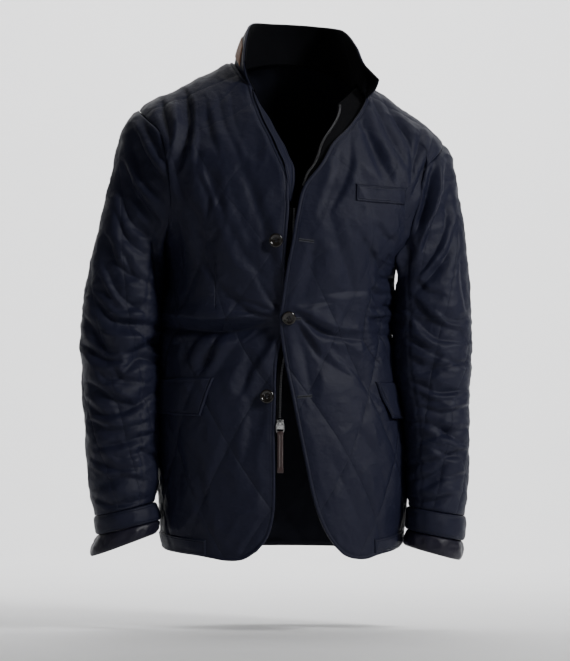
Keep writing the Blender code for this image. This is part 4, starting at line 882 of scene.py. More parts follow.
def panel(
    name, grid, per_across, per_down, table, phases, sewn_sides, stitched,
    lap=None, turn=0.0, darts=(), lapel=0.0,
):
    """A panel's shell; sewn_sides has a 1 for each side sewn to another, stitched the topstitched sides."""
    fine = finer(grid, ends_packed(grid.shape[0] - 1, per_across), ends_packed(grid.shape[1] - 1, per_down))
    base, normal = at_grid(form, fine), at_grid(form_normal, fine)
    if lap is not None:
        base = base + normal * lap(fine[..., 0])[..., None]
    sides, seen = border_distances(base), base[..., [0, 2]]
    z, nearest = base[..., 2], np.minimum.reduce(sides)
    height = creased(seen, table)
    for far, sewn in zip(sides, sewn_sides):
        if sewn:
            height = height * (0.25 + 0.75 * smooth_step(0.0, CREASE_FADE, far))
    turned = np.radians(fine[..., 0] - turn) * ROUND_BODY
    rise, quilt = quilting(turned, z, *phases, 0.45 + 0.55 * smooth_step(-0.22, -0.42, z), PILLOW)
    height = height + rise + COARSE_CRUMPLE * crumpled(base, (0.036, 0.060, 0.060))
    height += FINE_CRUMPLE * crumpled(base, (0.014, 0.02, 0.020), 5.0)
    crown = smooth_step(-0.130, -0.070, z)
    height -= SEAM_DEEP * (1 - 0.6 * crown) * bell(nearest, SEAM_WIDE)
    dart = dart_numbers(seen, darts)
    height += gathered(dart, sides, nearest)
    for far, sewn in zip(sides[:2], sewn_sides[:2]):
        if sewn:
            height += SIDE_FULL * (1 - crown) * bell(far, SIDE_REACH)
            height -= CROWN_DEEP * crown * bell(far, CROWN_REACH)
    near_shoulder = bell(np.abs(base[..., 0]) - SHOULDER_X, SHOULDER_REACH) * smooth_step(-0.11, -0.03, z)
    height += lapel * stands_up(z) * np.exp(-sides[0] / LAPEL_REACH) - SHOULDER_DEEP * near_shoulder
    ordered = (base[0], base[-1], base[:, 0], base[:, -1])
    hem = hem_numbers(base, [ordered[side] for side in stitched])
    roll = ROLL_HIGH * bell(hem[..., 0] - ROLL_AT, ROLL_WIDE)
    groove = STITCH_DEEP * bell(hem[..., 0] - STITCH_AT, STITCH_WIDE)
    height = height * (0.35 + 0.65 * smooth_step(0.0, 0.012, hem[..., 0])) + roll - groove
    inner = base + normal * (height - THICK + SEAM_LINING * bell(nearest, SEAM_WIDE))[..., None]
    uv = np.stack([sides[0], -z], axis=-1)
    values = {"quilt": quilt, "hem": hem, "dart": dart}
    made = shell(name, base + normal * height[..., None], inner, COAT, uv, values, inside=LINING)
    print(name, len(made.data.polygons), "faces")
    return made


def dressed(made, nodes, flat):
    """Rides and replaces a piece of cloth; its area is measured."""
    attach(made, "coat")
    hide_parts(*nodes)
    area = round(sum(p.area for p in made.data.polygons) / 2, 4)
    width, length = flat
    flat = (width, round(max(length, 1.02 * area / width), 3))
    print(made.name, "area", area)


BACK_CREASES = [
    (2.6, 10, -176, -92, -150, -160, -128, -236), (2.2, 10, -140, -70, -118, -140, -100, -210),
    (2.4, 10, 172, -110, 150, -170, 126, -250), (2.0, 10, 128, -70, 112, -140, 96, -215),
    (2.0, 12, -95, -120, -60, -190, -20, -240), (1.8, 12, 90, -120, 62, -200, 30, -250),
    (4.0, 13, -168, -352, -80, -362, 0, -352), (3.2, 12, 160, -366, 90, -372, 10, -364),
    (2.4, 11, -160, -395, -90, -404, -30, -396), (2.6, 10, 158, -332, 110, -330, 50, -322),
    (2.0, 10, -164, -318, -120, -312, -60, -318), (1.8, 10, 150, -410, 100, -420, 60, -414),
    (1.8, 14, -110, -470, -100, -560, -96, -680), (1.8, 14, 104, -470, 98, -560, 92, -680),
    (1.5, 13, -30, -430, -36, -520, -34, -640), (1.5, 13, 40, -440, 44, -530, 40, -650),
    (-2.0, 12, -150, -372, -80, -382, -10, -374), (-1.8, 12, 150, -348, 90, -352, 20, -344),
    (1.5, 10, -150, -440, -130, -500, -128, -560), (1.5, 10, 146, -440, 130, -500, 126, -560),
]
RIGHT_DARTS = [[(-114, -267), (-113, -310), (-111, -350)], [(-114, -394), (-124, -418), (-133, -443)]]
LEFT_DARTS = [[(148, -270), (126, -322), (113, -366), (111, -396), (122, -416), (136, -432)]]
right_front = panel(
    "right_front_shell", right_grid, 9, 12, RIGHT_FRONT_CREASES, (0.53, -0.31), (0, 1, 1, 0), (0, 3),
    darts=RIGHT_DARTS, lapel=0.0075,
)
left_front = panel(
    "left_front_shell", left_grid, 9, 12, LEFT_FRONT_CREASES, (0.20, 0.17), (0, 1, 1, 0), (0, 3), lap_of,
    darts=LEFT_DARTS,
)
back = panel(
    "back_shell", back_grid, 6, 9, BACK_CREASES, (0.5, 0.5), (1, 1, 1, 0), (3,), turn=180.0
)
dressed(right_front, ("right_front",), (0.30, 0.76))
dressed(left_front, ("left_front",), (0.30, 0.76))
dressed(back, ("back",), (0.62, 0.76))

# %% [markdown]
# ## The sleeves
#
# A sleeve is a tube of ovals: a table holds, for each ring, where its outer and inner side are seen, and
# its depth. Near the body the tube blends into the armhole. The creases of the front half are placed one
# by one, and the hidden half has similar ones. Two lengthwise seams are drawn in as narrow grooves.

# %% Tables of the sleeves
SLEEVE_COLUMNS = "outer_x, outer_z, inner_x, inner_z, centre_y, half_depth"
RIGHT_SLEEVE = np.array([
    (-0.2300, -0.048, -0.1950, -0.247, 0.002, 0.060), (-0.2470, -0.068, -0.1930, -0.262, -0.002, 0.060),
    (-0.2595, -0.100, -0.1910, -0.276, -0.006, 0.060), (-0.2680, -0.140, -0.1910, -0.292, -0.010, 0.060),
    (-0.2800, -0.185, -0.1925, -0.312, -0.015, 0.060), (-0.2910, -0.232, -0.1950, -0.337, -0.020, 0.060),
    (-0.3015, -0.283, -0.1970, -0.362, -0.024, 0.060), (-0.3105, -0.336, -0.1990, -0.392, -0.028, 0.060),
    (-0.3160, -0.395, -0.2005, -0.428, -0.032, 0.059), (-0.3135, -0.450, -0.2015, -0.470, -0.035, 0.058),
    (-0.3105, -0.505, -0.2020, -0.515, -0.038, 0.057), (-0.3070, -0.560, -0.2025, -0.560, -0.042, 0.056),
    (-0.3025, -0.612, -0.2020, -0.603, -0.045, 0.054), (-0.2950, -0.662, -0.2030, -0.641, -0.048, 0.052),
    (-0.2920, -0.690, -0.1960, -0.668, -0.050, 0.052), (-0.3030, -0.722, -0.2015, -0.690, -0.051, 0.053),
])
LEFT_SLEEVE = np.array([
    (0.2300, -0.0975, 0.1600, -0.285, 0.004, 0.060), (0.2430, -0.118, 0.1630, -0.298, 0.002, 0.060),
    (0.2510, -0.155, 0.1620, -0.312, 0.000, 0.060), (0.2580, -0.200, 0.1605, -0.328, -0.003, 0.059),
    (0.2655, -0.250, 0.1590, -0.346, -0.006, 0.058), (0.2720, -0.305, 0.1580, -0.368, -0.010, 0.057),
    (0.2730, -0.360, 0.1580, -0.398, -0.014, 0.057), (0.2745, -0.418, 0.1590, -0.438, -0.018, 0.056),
    (0.2720, -0.475, 0.1690, -0.485, -0.022, 0.056), (0.2705, -0.530, 0.1768, -0.535, -0.026, 0.055),
    (0.2690, -0.585, 0.1790, -0.585, -0.029, 0.054), (0.2665, -0.630, 0.1795, -0.625, -0.032, 0.052),
    (0.2645, -0.662, 0.1780, -0.648, -0.034, 0.050), (0.2620, -0.700, 0.1755, -0.682, -0.035, 0.050),
    (0.2590, -0.730, 0.1700, -0.706, -0.036, 0.050),
])
WALL, ARMHOLE_GAP, BACK_TO_BACK, SEAM_TURN = 0.0045, 0.0004, 0.0012, 126.0
SLEEVE_ROUND, SEAM_ROUND = 0.058, 0.055  # turn an angle round the sleeve into a length of cloth
SLEEVE_CREASE, SLEEVE_PILLOW = 2.7, 0.0014
SLEEVE_COARSE, SLEEVE_FINE = 0.0024, 0.0009
LONG_SEAM_DEEP, LONG_SEAM_WIDE = 0.0013, 0.0022
END_DEEP, END_WIDE = 0.0014, 0.0020
CROWN_PUFF, SLEEVE_OUT, INNER_OUT = 0.0020, 0.0020, 0.0028
SLEEVE_GATHER = 0.0003
AROUND, ALONG = 140, 236


def ring_normals(points, side):
    around = np.roll(points, -1, axis=0) - np.roll(points, 1, axis=0)
    return unit(np.cross(around, np.gradient(points, axis=1))) * side


def fade(where, reach):
    f = np.clip(1 - where / reach, 0, 1)
    return (f * f * (3 - 2 * f))[None, :, None]


def oval(table, turns, where):
    """Points round the sleeve: turns in degrees from its outer side toward the front, where in table rows."""
    row = spline(table, where)
    outer = np.stack([row[:, 0], row[:, 4], row[:, 1]], axis=1)
    inner = np.stack([row[:, 2], row[:, 4], row[:, 3]], axis=1)
    turn = np.radians(turns)[:, None, None]
    depth = np.stack([0 * row[:, 5], -row[:, 5], 0 * row[:, 5]], axis=1)
    return (outer + inner)[None] / 2 + np.cos(turn) * (outer - inner)[None] / 2 + np.sin(turn) * depth[None]


def ring_places(table, cells):
    """Table rows at which rings lie evenly along the sleeve's middle line."""
    where = np.linspace(0, len(table) - 1, 30 * (len(table) - 1) + 1)
    fine = spline(table, where)
    middle = np.stack([fine[:, 0] + fine[:, 2], 2 * fine[:, 4], fine[:, 1] + fine[:, 3]], axis=1) / 2
    length = lengths_along(middle)
    return np.interp(np.linspace(0, length[-1], cells + 1), length, where)


def mirrored(table, shift_x, shift_z):
    """The creases of the other sleeve, for a hidden side."""
    out = []
    for depth, width, *line in table:
        moved = [-v + shift_x if i % 2 == 0 else v + shift_z for i, v in enumerate(line)]
        out.append((depth, width, *moved))
    return out


def sleeve(name, side, table, arm, front_table, back_table, phases):
    whole = np.concatenate([arm, behind(arm)[::-1][1:-1]])
    loop = np.concatenate([whole, whole[:1]])
    angles = np.unwrap(np.radians(loop[:, 0]))
    loop = np.stack([np.degrees(angles), loop[:, 1]], axis=1)
    fine = spline(loop, np.arange(AROUND) * len(whole) / AROUND)
    turns = np.arange(AROUND) * 360.0 / AROUND
    seam_points, seam_normal = form(fine[:, 0], fine[:, 1]), form_normal(fine[:, 0], fine[:, 1])
    where = ring_places(table[: len(table) - 2], ALONG)
    points = oval(table, turns, where)
    points = points + fade(where, 3.2) * (seam_points[:, None, :] - oval(table, turns, np.array([0.0])))
    normal = ring_normals(points, side)
    normal[:, 0] = unit(normal[:, 1] + 0.5 * normal[:, 2])
    along_seam = np.roll(seam_points, -1, axis=0) - np.roll(seam_points, 1, axis=0)
    away = unit(np.cross(seam_normal, along_seam)) * side
    agree = (normal[:, 0] * seam_normal).sum(axis=1)
    shift = away * ARMHOLE_GAP + seam_normal * (BACK_TO_BACK * np.maximum(0, -agree))[:, None]
    points = points + fade(where, 1.6) * shift[:, None, :]
    seen = points[..., [0, 2]]
    front = smooth_step(0.25, -0.25, normal[..., 1])
    height = front * creased(seen, front_table, SLEEVE_CREASE)
    height += (1 - front) * creased(seen, back_table, SLEEVE_CREASE)
    along = steps_along(points, 1)
    arm_end, cuff_end = along, along[:, -1:] - along
    round_it = np.radians(turns)[:, None] * SLEEVE_ROUND + 0 * along
    quilt_weight = 0.5 + 0.3 * smooth_step(0.05, 0.2, along)
    rise, quilt = quilting(round_it, along, *phases, quilt_weight, SLEEVE_PILLOW)
    height += rise + SLEEVE_COARSE * crumpled(points, (0.060, 0.060, 0.028), 3.0)
    height += SLEEVE_FINE * crumpled(points, (0.024, 0.024, 0.013), 7.0)
    height *= 0.3 + 0.7 * smooth_step(0, 0.020, arm_end)
    height *= 0.4 + 0.6 * smooth_step(0, 0.012, cuff_end)
    for seam in (SEAM_TURN, -SEAM_TURN):
        off = np.radians((turns - seam + 180) % 360 - 180)[:, None] * SEAM_ROUND
        height -= LONG_SEAM_DEEP * bell(off, LONG_SEAM_WIDE)
    outer_side = np.clip(np.cos(np.radians(turns)), 0, 1)[:, None] ** 0.7
    inner_side = np.clip(-np.cos(np.radians(turns)), 0, 1)[:, None] ** 0.7
    height -= END_DEEP * (1 - 0.7 * outer_side) * bell(np.minimum(arm_end, cuff_end), END_WIDE)
    near_seam = smooth_step(0.0005, 0.008, arm_end) * (1 - smooth_step(0.012, 0.060, arm_end))
    height += CROWN_PUFF * outer_side * near_seam
    away_from_ends = smooth_step(0.01, 0.05, arm_end) * smooth_step(0.0, 0.03, cuff_end)
    height += (SLEEVE_OUT + INNER_OUT * inner_side) * away_from_ends
    gathers = np.sin(round_it / 0.0016 + 2 * np.sin(round_it / 0.011)) * np.exp(-arm_end / GATHER_REACH)
    height += SLEEVE_GATHER * gathers
    outer, inner = points + normal * height[..., None], points + normal * (height - THICK)[..., None]
    hem = np.stack([np.full(along.shape, 1.0), along, np.zeros(along.shape)], axis=-1)
    closing = [np.concatenate([grid, grid[:1]]) for grid in (outer, inner, quilt, hem, along)]
    around_uv = np.linspace(0, 0.36, AROUND + 1)[:, None] + 0 * closing[4]
    uv = np.stack([around_uv, closing[4]], axis=-1)
    values = {"quilt": closing[2], "hem": closing[3], "dart": closing[3] * (0, 0, 0) + (1, 0, 0)}
    made = shell(name, closing[0], closing[1], COAT, uv, values, closed=True, inside=LINING)
    print(name, len(made.data.polygons), "faces")
    return made


right_sleeve = sleeve(
    "right_sleeve_shell", -1, RIGHT_SLEEVE, right_arm, RIGHT_SLEEVE_CREASES,
    mirrored(LEFT_SLEEVE_CREASES, -36, 14), (0.3, 0.1)
)
left_sleeve = sleeve(
    "left_sleeve_shell", 1, LEFT_SLEEVE, left_arm, LEFT_SLEEVE_CREASES,
    mirrored(RIGHT_SLEEVE_CREASES, -36, -14), (0.15, 0.35)
)
print("sleeve tables:", len(RIGHT_SLEEVE), "and", len(LEFT_SLEEVE), "rows of", SLEEVE_COLUMNS)

# %% [markdown]
# ## The cuffs
#
# Each sleeve ends in a plain band of the coat's cloth, and below it a narrower inner cuff of shiny nylon
# that puffs out between its seams. Both follow the same table of ovals, so they stay in line with the
# sleeve.

# %% Cuff bands
BAND_CELLS, BAND_LENGTH, BAND_FLAT, BAND_ROUND = 18, 0.028, 0.34, 0.052


def band(name, side, table, first, last, out, belly, thick, surface, crumple, waves):
    """A band round the sleeve's end between two table rows, puffed out by belly and waved by waves."""
    turns = np.arange(AROUND + 1) * 360.0 / AROUND
    where = np.linspace(first, last, BAND_CELLS + 1)
    ring = oval(table, turns, where)
    normal = ring_normals(ring[:-1], side)
    normal = np.concatenate([normal, normal[:1]])
    t = np.linspace(0, 1, BAND_CELLS + 1)[None, :]
    turn = np.radians(turns)[:, None]
    height = out + belly * np.sin(math.pi * t) ** 0.7 + 0 * turn
    height = height + waves * np.sin(math.pi * t) * np.sin(11 * turn + 1.5 * np.sin(3 * turn) + 2 * t)
    noise_here = rough(ring[:-1], crumple, 11.0)
    height = height + 0.0011 * np.concatenate([noise_here, noise_here[:1]]) * np.sin(math.pi * t)
    ends = np.minimum(t, 1 - t) * BAND_LENGTH
    height = height - 0.0014 * bell(ends, 0.0014)
    along = steps_along(ring, 1)
    uv = np.stack([np.linspace(0, BAND_FLAT, AROUND + 1)[:, None] + 0 * along, along], axis=-1)
    low = along[:, -1:] - along
    hem = np.stack([np.minimum(along, low), turn * BAND_ROUND + 0 * along, np.ones(along.shape)], axis=-1)
    quilt = unquilted(along)
    outer, inner = ring + normal * height[..., None], ring + normal * (out - thick)
    return shell(name, outer, inner, surface, uv, {"quilt": quilt, "hem": hem}, closed=True)


COAT_BAND = navy_cloth("coat_cloth_band", 0.0030, 0.6)
CUFF_SIZES = dict(
    out=0.0012, belly=0.0018, thick=0.0040, surface=COAT_BAND, crumple=(0.02, 0.02, 0.010), waves=0.0004,
)
INNER_CUFF_SIZES = dict(
    out=-0.0016, belly=0.0030, thick=0.0024, surface=NYLON, crumple=(0.014, 0.014, 0.007), waves=0.0007,
)
cuffs = {}
for shell_name, node_name, starts, ends, sizes in (
    ("cuff_shell", "cuff_band", 0.03, 1, CUFF_SIZES),
    ("inner_cuff_shell", "inner_cuff", 1.02, 2, INNER_CUFF_SIZES),
):
    for side_name, side, table in (("right", -1, RIGHT_SLEEVE), ("left", 1, LEFT_SLEEVE)):
        row = len(table) - 3
        made = band(f"{side_name}_{shell_name}", side, table, row + starts, row + ends, **sizes)
        cuffs[f"{side_name}_{node_name}"] = made
dressed(right_sleeve, ("right_top_sleeve", "right_under_sleeve"), (0.40, 0.62))
dressed(left_sleeve, ("left_top_sleeve", "left_under_sleeve"), (0.40, 0.60))
for node, made in cuffs.items():
    dressed(made, (node,), (0.34, 0.03))

# %% [markdown]
# ## The collar
#
# The collar is turned up: a wall that stands on the neck seam, navy cloth outside and black corduroy
# inside. Its top edge is a table of points, and its foot follows the corners of the panels below it.

# %% Collar surface
# Columns: the angle of the foot, then x, y, z of the top edge.
COLLAR = np.array([
    (-47.0, -0.0690, -0.0640, 0.0225), (-60.0, -0.0660, -0.0330, 0.0540), (-75.0, -0.0620, -0.0050, 0.0740),
    (-90.0, -0.0585, 0.0200, 0.0825), (-120.0, -0.0500, 0.0620, 0.0880), (-150.0, -0.0250, 0.0960, 0.0890),
    (-180.0, 0.0080, 0.1080, 0.0880), (-210.0, 0.0410, 0.0980, 0.0850), (-240.0, 0.0670, 0.0700, 0.0800),
    (-270.0, 0.0830, 0.0300, 0.0720), (-283.0, 0.0985, -0.0020, 0.0500), (-292.0, 0.1100, -0.0260, 0.0230),
    (-298.0, 0.1340, -0.0480, -0.0040),
])
COLLAR_OFF, COLLAR_OUTER, COLLAR_INNER, COLLAR_END_LIFT = 0.0009, 0.0024, 0.0020, 0.0090
COLLAR_BULGE, COLLAR_WOBBLE, SUEDE_THICK = 0.003, 0.0012, 0.0018
PER_COLUMN, COLLAR_ROWS = 9, 40


def collar_surface(per_column, rows, start=0.0):
    turn = np.array([360.0, 0.0])
    line = join(join(right_grid[0, NECK_CELLS::-1], back_neck - turn), left_grid[0, : NECK_CELLS + 1] - turn)
    line = spline(line, np.linspace(0, len(line) - 1, per_column * (len(line) - 1) + 1))
    angle = line[:, 0]
    seat = np.interp(angle, COLLAR[::-1, 0], np.arange(len(COLLAR))[::-1])
    row = spline(COLLAR, seat)
    foot, foot_normal = form(angle, line[:, 1]), form_normal(angle, line[:, 1])
    rise, along = row[:, 1:4] - foot, np.gradient(foot, axis=0)
    wall_normal, up = unit(np.cross(rise, along)), unit(np.cross(along, foot_normal))
    up *= np.sign((up * rise).sum(axis=1))[:, None]
    across, upward = np.abs((wall_normal * up).sum(axis=1)), unit(rise)
    drop = WALL * across
    lift = COLLAR_OFF + COLLAR_OUTER * across + drop * np.maximum(0, (upward * up).sum(axis=1))
    foot = foot + up * lift[:, None] - upward * drop[:, None]
    foot = foot + foot_normal * (COLLAR_END_LIFT * np.clip((-266.0 - angle) / 20.0, 0, 1))[:, None]
    t = np.linspace(start, 1, rows + 1)[None, :, None]
    points = foot[:, None, :] * (1 - t) + row[:, None, 1:4] * t
    points = points + COLLAR_BULGE * np.sin(math.pi * np.maximum(t, 0)) * wall_normal[:, None, :]
    normal = unit(np.cross(np.gradient(points, axis=1), np.gradient(points, axis=0)))
    return points, normal


collar_points, collar_normal = collar_surface(PER_COLUMN, COLLAR_ROWS)
across, rest, down, up_way = border_distances(collar_points)
nearest = np.minimum.reduce([across, rest, down, up_way])
edge = np.minimum.reduce([across, rest, up_way])
wobble = COLLAR_WOBBLE * rough(collar_points, (0.03, 0.03, 0.03), 2.0) * smooth_step(0, 0.02, nearest)
roll = 0.0007 * bell(edge - 0.0022, 0.0018) - 0.0012 * bell(edge, 0.0016)
uv = np.stack([across, down], axis=-1)
hem = hem_numbers(collar_points, [collar_points[0], collar_points[:, -1], collar_points[-1][::-1]])
quilt = unquilted(down)
OVER_COLLAR = COLLAR_OUTER + 0.0001
outer_collar = shell(
    "under_collar_shell",
    collar_points + collar_normal * (COLLAR_OUTER + wobble + roll)[..., None],
    collar_points + collar_normal * (wobble + 0.0001)[..., None],
    COAT, uv, {"quilt": quilt, "hem": hem},
)
collar_points, collar_normal = collar_surface(PER_COLUMN, COLLAR_ROWS, -0.13)
inner_collar = shell(
    "top_collar_shell",
    collar_points - collar_normal * (0.0002 - wobble)[..., None],
    collar_points - collar_normal * (0.0003 + COLLAR_INNER + roll - wobble)[..., None],
    PILE, uv,
)
dressed(outer_collar, ("under_collar",), (0.50, 0.10))
dressed(inner_collar, ("top_collar",), (0.50, 0.10))
collar_points, collar_normal = collar_surface(PER_COLUMN, COLLAR_ROWS)
patch_part = (slice(2 * PER_COLUMN, 6 * PER_COLUMN + 1), slice(7, 28))
patch_points, patch_normal = collar_points[patch_part], collar_normal[patch_part]
patch_sides = border_distances(patch_points)
patch_edge = 0.0007 * bell(np.minimum.reduce(patch_sides), 0.0012)
tab = shell(
    "collar_patch_shell",
    patch_points + patch_normal * (COLLAR_OUTER + SUEDE_THICK - patch_edge + wobble[patch_part])[..., None],
    patch_points + patch_normal * (OVER_COLLAR + wobble[patch_part])[..., None],
    SUEDE, np.stack([patch_sides[0], patch_sides[2]], axis=-1),
)
dressed(tab, ("collar_patch",), (0.08, 0.05))

# %% [markdown]
# ## Pockets and tabs
#
# The welt, the flaps and the hem tabs lie on the panels, so their points come from rays cast onto the
# finished shells. Each is a grid between four seen corners, a little proud, with rolled edges and a
# topstitch.

# %% Pieces that lie on a panel
def skin_tree(*objects):
    bm = bmesh.new()
    for made in objects:
        bm.from_mesh(made.data)
    tree = BVHTree.FromBMesh(bm)
    bm.free()
    return tree


left_tree, right_tree = skin_tree(left_front), skin_tree(right_front)
side_tree = skin_tree(left_front, right_front, back)


def corner_at(angle, z):
    return angle, level_at(angle, z)


RAY = 0.04


def lying(name, node, tree, corners, cells, thick, surface, flat, stand_off=0.0, bulge=0.0, open_top=False):
    """A cloth piece on a panel between four corners: upper front, upper back, lower front, lower back."""
    a, b, c, d = [np.array(corner) for corner in corners]
    s, t = np.linspace(0, 1, cells[0] + 1)[:, None, None], np.linspace(0, 1, cells[1] + 1)[None, :, None]
    grid = (1 - t) * ((1 - s) * a + s * b) + t * ((1 - s) * c + s * d)
    normal, start = at_grid(form_normal, grid), at_grid(form, grid)
    height = np.zeros(start.shape[:2])
    for i in range(start.shape[0]):
        for j in range(start.shape[1]):
            ray = Vector(start[i, j] + normal[i, j] * RAY)
            hit = tree.ray_cast(ray, Vector(-normal[i, j]), 2 * RAY)
            height[i, j] = RAY - hit[3] if hit[0] is not None else 0.0
    smooth = height
    for step in range(6):
        wide = np.pad(smooth, 1, mode="edge")
        smooth = np.maximum(height, (wide[:-2, 1:-1] + wide[2:, 1:-1] + wide[1:-1, :-2] + wide[1:-1, 2:]) / 4)
    s, t = s[..., 0], t[..., 0]
    bottom = smooth + 0.0003 + stand_off * t**1.5
    base = start + normal * bottom[..., None]
    sides = border_distances(base)
    nearest = np.minimum.reduce(sides)
    top = thick + bulge * np.sin(math.pi * s) * np.sin(math.pi * t)
    top = top + 0.0004 * rough(base, (0.02, 0.02, 0.01), 21.0)
    top = top - 0.6 * thick * bell(nearest, 0.0012) + 0.0006 * bell(nearest - 0.0024, 0.0014)
    lines = [base[0], base[:, -1], base[-1][::-1]]
    if not open_top:
        lines.append(base[:, 0][::-1])
    hem = hem_numbers(base, lines)
    quilt = unquilted(top)
    outer, uv = base + normal * top[..., None], np.stack([sides[0], sides[2]], axis=-1)
    dressed(shell(name, outer, base, surface, uv, {"quilt": quilt, "hem": hem}), (node,), flat)


COAT_TRIM = navy_cloth("coat_cloth_trim", 0.0045, 0.45, stitch_deep=0.0011)
COAT_NARROW = navy_cloth("coat_cloth_narrow", 0.0028, 0.35, stitch_deep=0.0010)
lying(
    "breast_welt_shell", "breast_welt", left_tree,
    (place(0.0975, -0.1650), place(0.1740, -0.1700), place(0.0975, -0.1900), place(0.1740, -0.1950)),
    (70, 24), 0.0020, COAT_NARROW, (0.09, 0.03),
)
lying(
    "right_flap_shell", "right_flap", side_tree,
    (place(-0.1140, -0.4530), corner_at(-74.0, -0.4560), place(-0.1320, -0.5115), corner_at(-74.0, -0.5085)),
    (90, 48), 0.0030, COAT_TRIM, (0.10, 0.06), 0.0030, 0.0008, True,
)
lying(
    "left_flap_shell", "left_flap", side_tree,
    (place(0.1290, -0.4600), corner_at(73.0, -0.4620), place(0.1490, -0.5160), corner_at(77.0, -0.5180)),
    (60, 48), 0.0030, COAT_TRIM, (0.055, 0.06), 0.0050, 0.0008, True,
)
lying(
    "right_hem_tab_shell", "right_hem_tab", right_tree,
    (place(-0.1260, -0.6960), corner_at(-87.0, -0.6860), place(-0.1260, -0.7190), corner_at(-87.0, -0.7100)),
    (60, 20), 0.0018, COAT_NARROW, (0.10, 0.03),
)
lying(
    "left_hem_tab_shell", "left_hem_tab", left_tree,
    (place(0.1260, -0.6960), corner_at(87.0, -0.6840), place(0.1270, -0.7160), corner_at(87.0, -0.7060)),
    (60, 20), 0.0018, COAT_NARROW, (0.10, 0.03),
)

# %% [markdown]
# ## Strips at the opening
#
# Inside the left neck edge runs a black placket with a zip's teeth, and beside the right edge a navy
# facing above the fastened part and the zip's other tape below it. They follow the front's edge at a
# small depth.

# %% Placket, facing and tape
def strip(name, first_line, second_line, cells, top_at, thick, surface):
    first, second = trace(first_line, cells[1]), trace(second_line, cells[1])
    s = np.linspace(0, 1, cells[0] + 1)[:, None, None]
    grid = (1 - s) * first[None] + s * second[None]
    base, normal = at_grid(form, grid), at_grid(form_normal, grid)
    height = top_at(grid[..., 0], s[..., 0], base[..., 2])
    sides = border_distances(base)
    nearest = np.minimum.reduce(sides)
    height = height - 0.35 * thick * bell(nearest, 0.0007)
    bottom = top_at(grid[..., 0], s[..., 0], base[..., 2]) - thick
    hem = np.stack([np.minimum(sides[0], sides[1]), sides[2], np.ones(nearest.shape)], axis=-1)
    quilt = unquilted(nearest)
    uv = np.stack([sides[0], sides[2]], axis=-1)
    outer, inner = base + normal * height[..., None], base + normal * bottom[..., None]
    return shell(name, outer, inner, surface, uv, {"quilt": quilt, "hem": hem})


edge_points = form(right_grid[0, NECK_CELLS:, 0], right_grid[0, NECK_CELLS:, 1])


def edge_x(z):
    """Where the right front's edge is at a height."""
    return float(np.interp(-z, -edge_points[:, 2], edge_points[:, 0]))


def beside_edge(across, heights):
    return [place(edge_x(z) + width, z) for z, width in zip(heights, across)]


def placket_top(angle, s, z):
    return lap_of(angle) - WALL - 0.0038


PLACKET_INNER = [
    (0.0720, -0.0360), (0.0480, -0.0960), (0.0285, -0.1410), (0.0135, -0.1750), (0.0100, -0.1950),
]
PLACKET_OUTER = [(0.0840, -0.0935), (0.0570, -0.1290), (0.0260, -0.1725), (0.0190, -0.1950)]
placket = strip(
    "left_placket_shell", [place(x, z) for x, z in PLACKET_INNER],
    [(84.0, 0.08), (68.0, 0.52)] + [place(x, z) for x, z in PLACKET_OUTER],
    (30, 90), placket_top, 0.0014, TAPE,
)
def facing_top(angle, s, z):
    """The facing rises with the lapel at the edge and drops behind the opening, s from 0 to 1."""
    raised = 0.0068 * stands_up(z)
    return raised - 0.0006 - (0.0090 + raised) * s


FACING_Z = (-0.024, -0.060, -0.095, -0.125, -0.150, -0.172, -0.190)
FACING_WIDE = (0.013, 0.017, 0.018, 0.017, 0.014, 0.009, 0.004)
facing = strip(
    "right_facing_shell", beside_edge([0.0009] * 7, FACING_Z), beside_edge(FACING_WIDE, FACING_Z),
    (18, 90), facing_top, 0.0022, COAT_NARROW,
)
TAPE_Z = (-0.2000, -0.2300, -0.2700, -0.3100, -0.3400, -0.3630, -0.3850, -0.4100, -0.4500, -0.5000, -0.5480)
TAPE_WIDE = (0.0070, 0.0075, 0.0075, 0.0070, 0.0065, 0.0060, 0.0065, 0.0075, 0.0060, 0.0050, 0.0045)
zip_tape = strip(
    "zip_tape_shell", beside_edge([0.0009] * 11, TAPE_Z), beside_edge(TAPE_WIDE, TAPE_Z),
    (6, 160), lambda angle, s, z: -0.0016 + 0 * angle, 0.0012, TAPE,
)
for made, node, slot_name, flat in (
    (placket, "left_placket", "black_tape", (0.04, 0.22)),
    (facing, "right_facing", "coat_cloth", (0.02, 0.20)),
    (zip_tape, "zip_tape", "black_tape", (0.012, 0.37)),
):
    dressed(made, (node,), flat)

# %% [markdown]
# ## Zip teeth
#
# A metal zip is a row of small cast teeth clamped on the tape's cord. One tooth is a bevelled block with
# a head; copies of it are set along the edge at a 2.4 mm pitch and joined into one mesh.

# %% Rows of teeth
def block(bm, size, centre, bevel=0.0):
    """A box with rounded edges, added to a bmesh; gives back its vertices."""
    start = set(bm.verts)
    bmesh.ops.create_cube(bm, size=1.0)
    new = [v for v in bm.verts if v not in start]
    bmesh.ops.scale(bm, vec=Vector(size), verts=new)
    bmesh.ops.translate(bm, vec=Vector(centre), verts=new)
    if bevel:
        edges = list({e for v in new for e in v.link_edges})
        bmesh.ops.bevel(bm, geom=edges, offset=bevel, segments=2, profile=0.5, affect="EDGES")
        new = [v for v in bm.verts if v not in start]
    return new


def finished(name, bm, surface):
    bmesh.ops.recalc_face_normals(bm, faces=bm.faces[:])
    mesh = bpy.data.meshes.new(name)
    bm.to_mesh(mesh)
    bm.free()
    for face in mesh.polygons:
        face.use_smooth = True
    mesh.materials.append(surface)
    made = bpy.data.objects.new(name, mesh)
    bpy.context.scene.collection.objects.link(made)
    return made


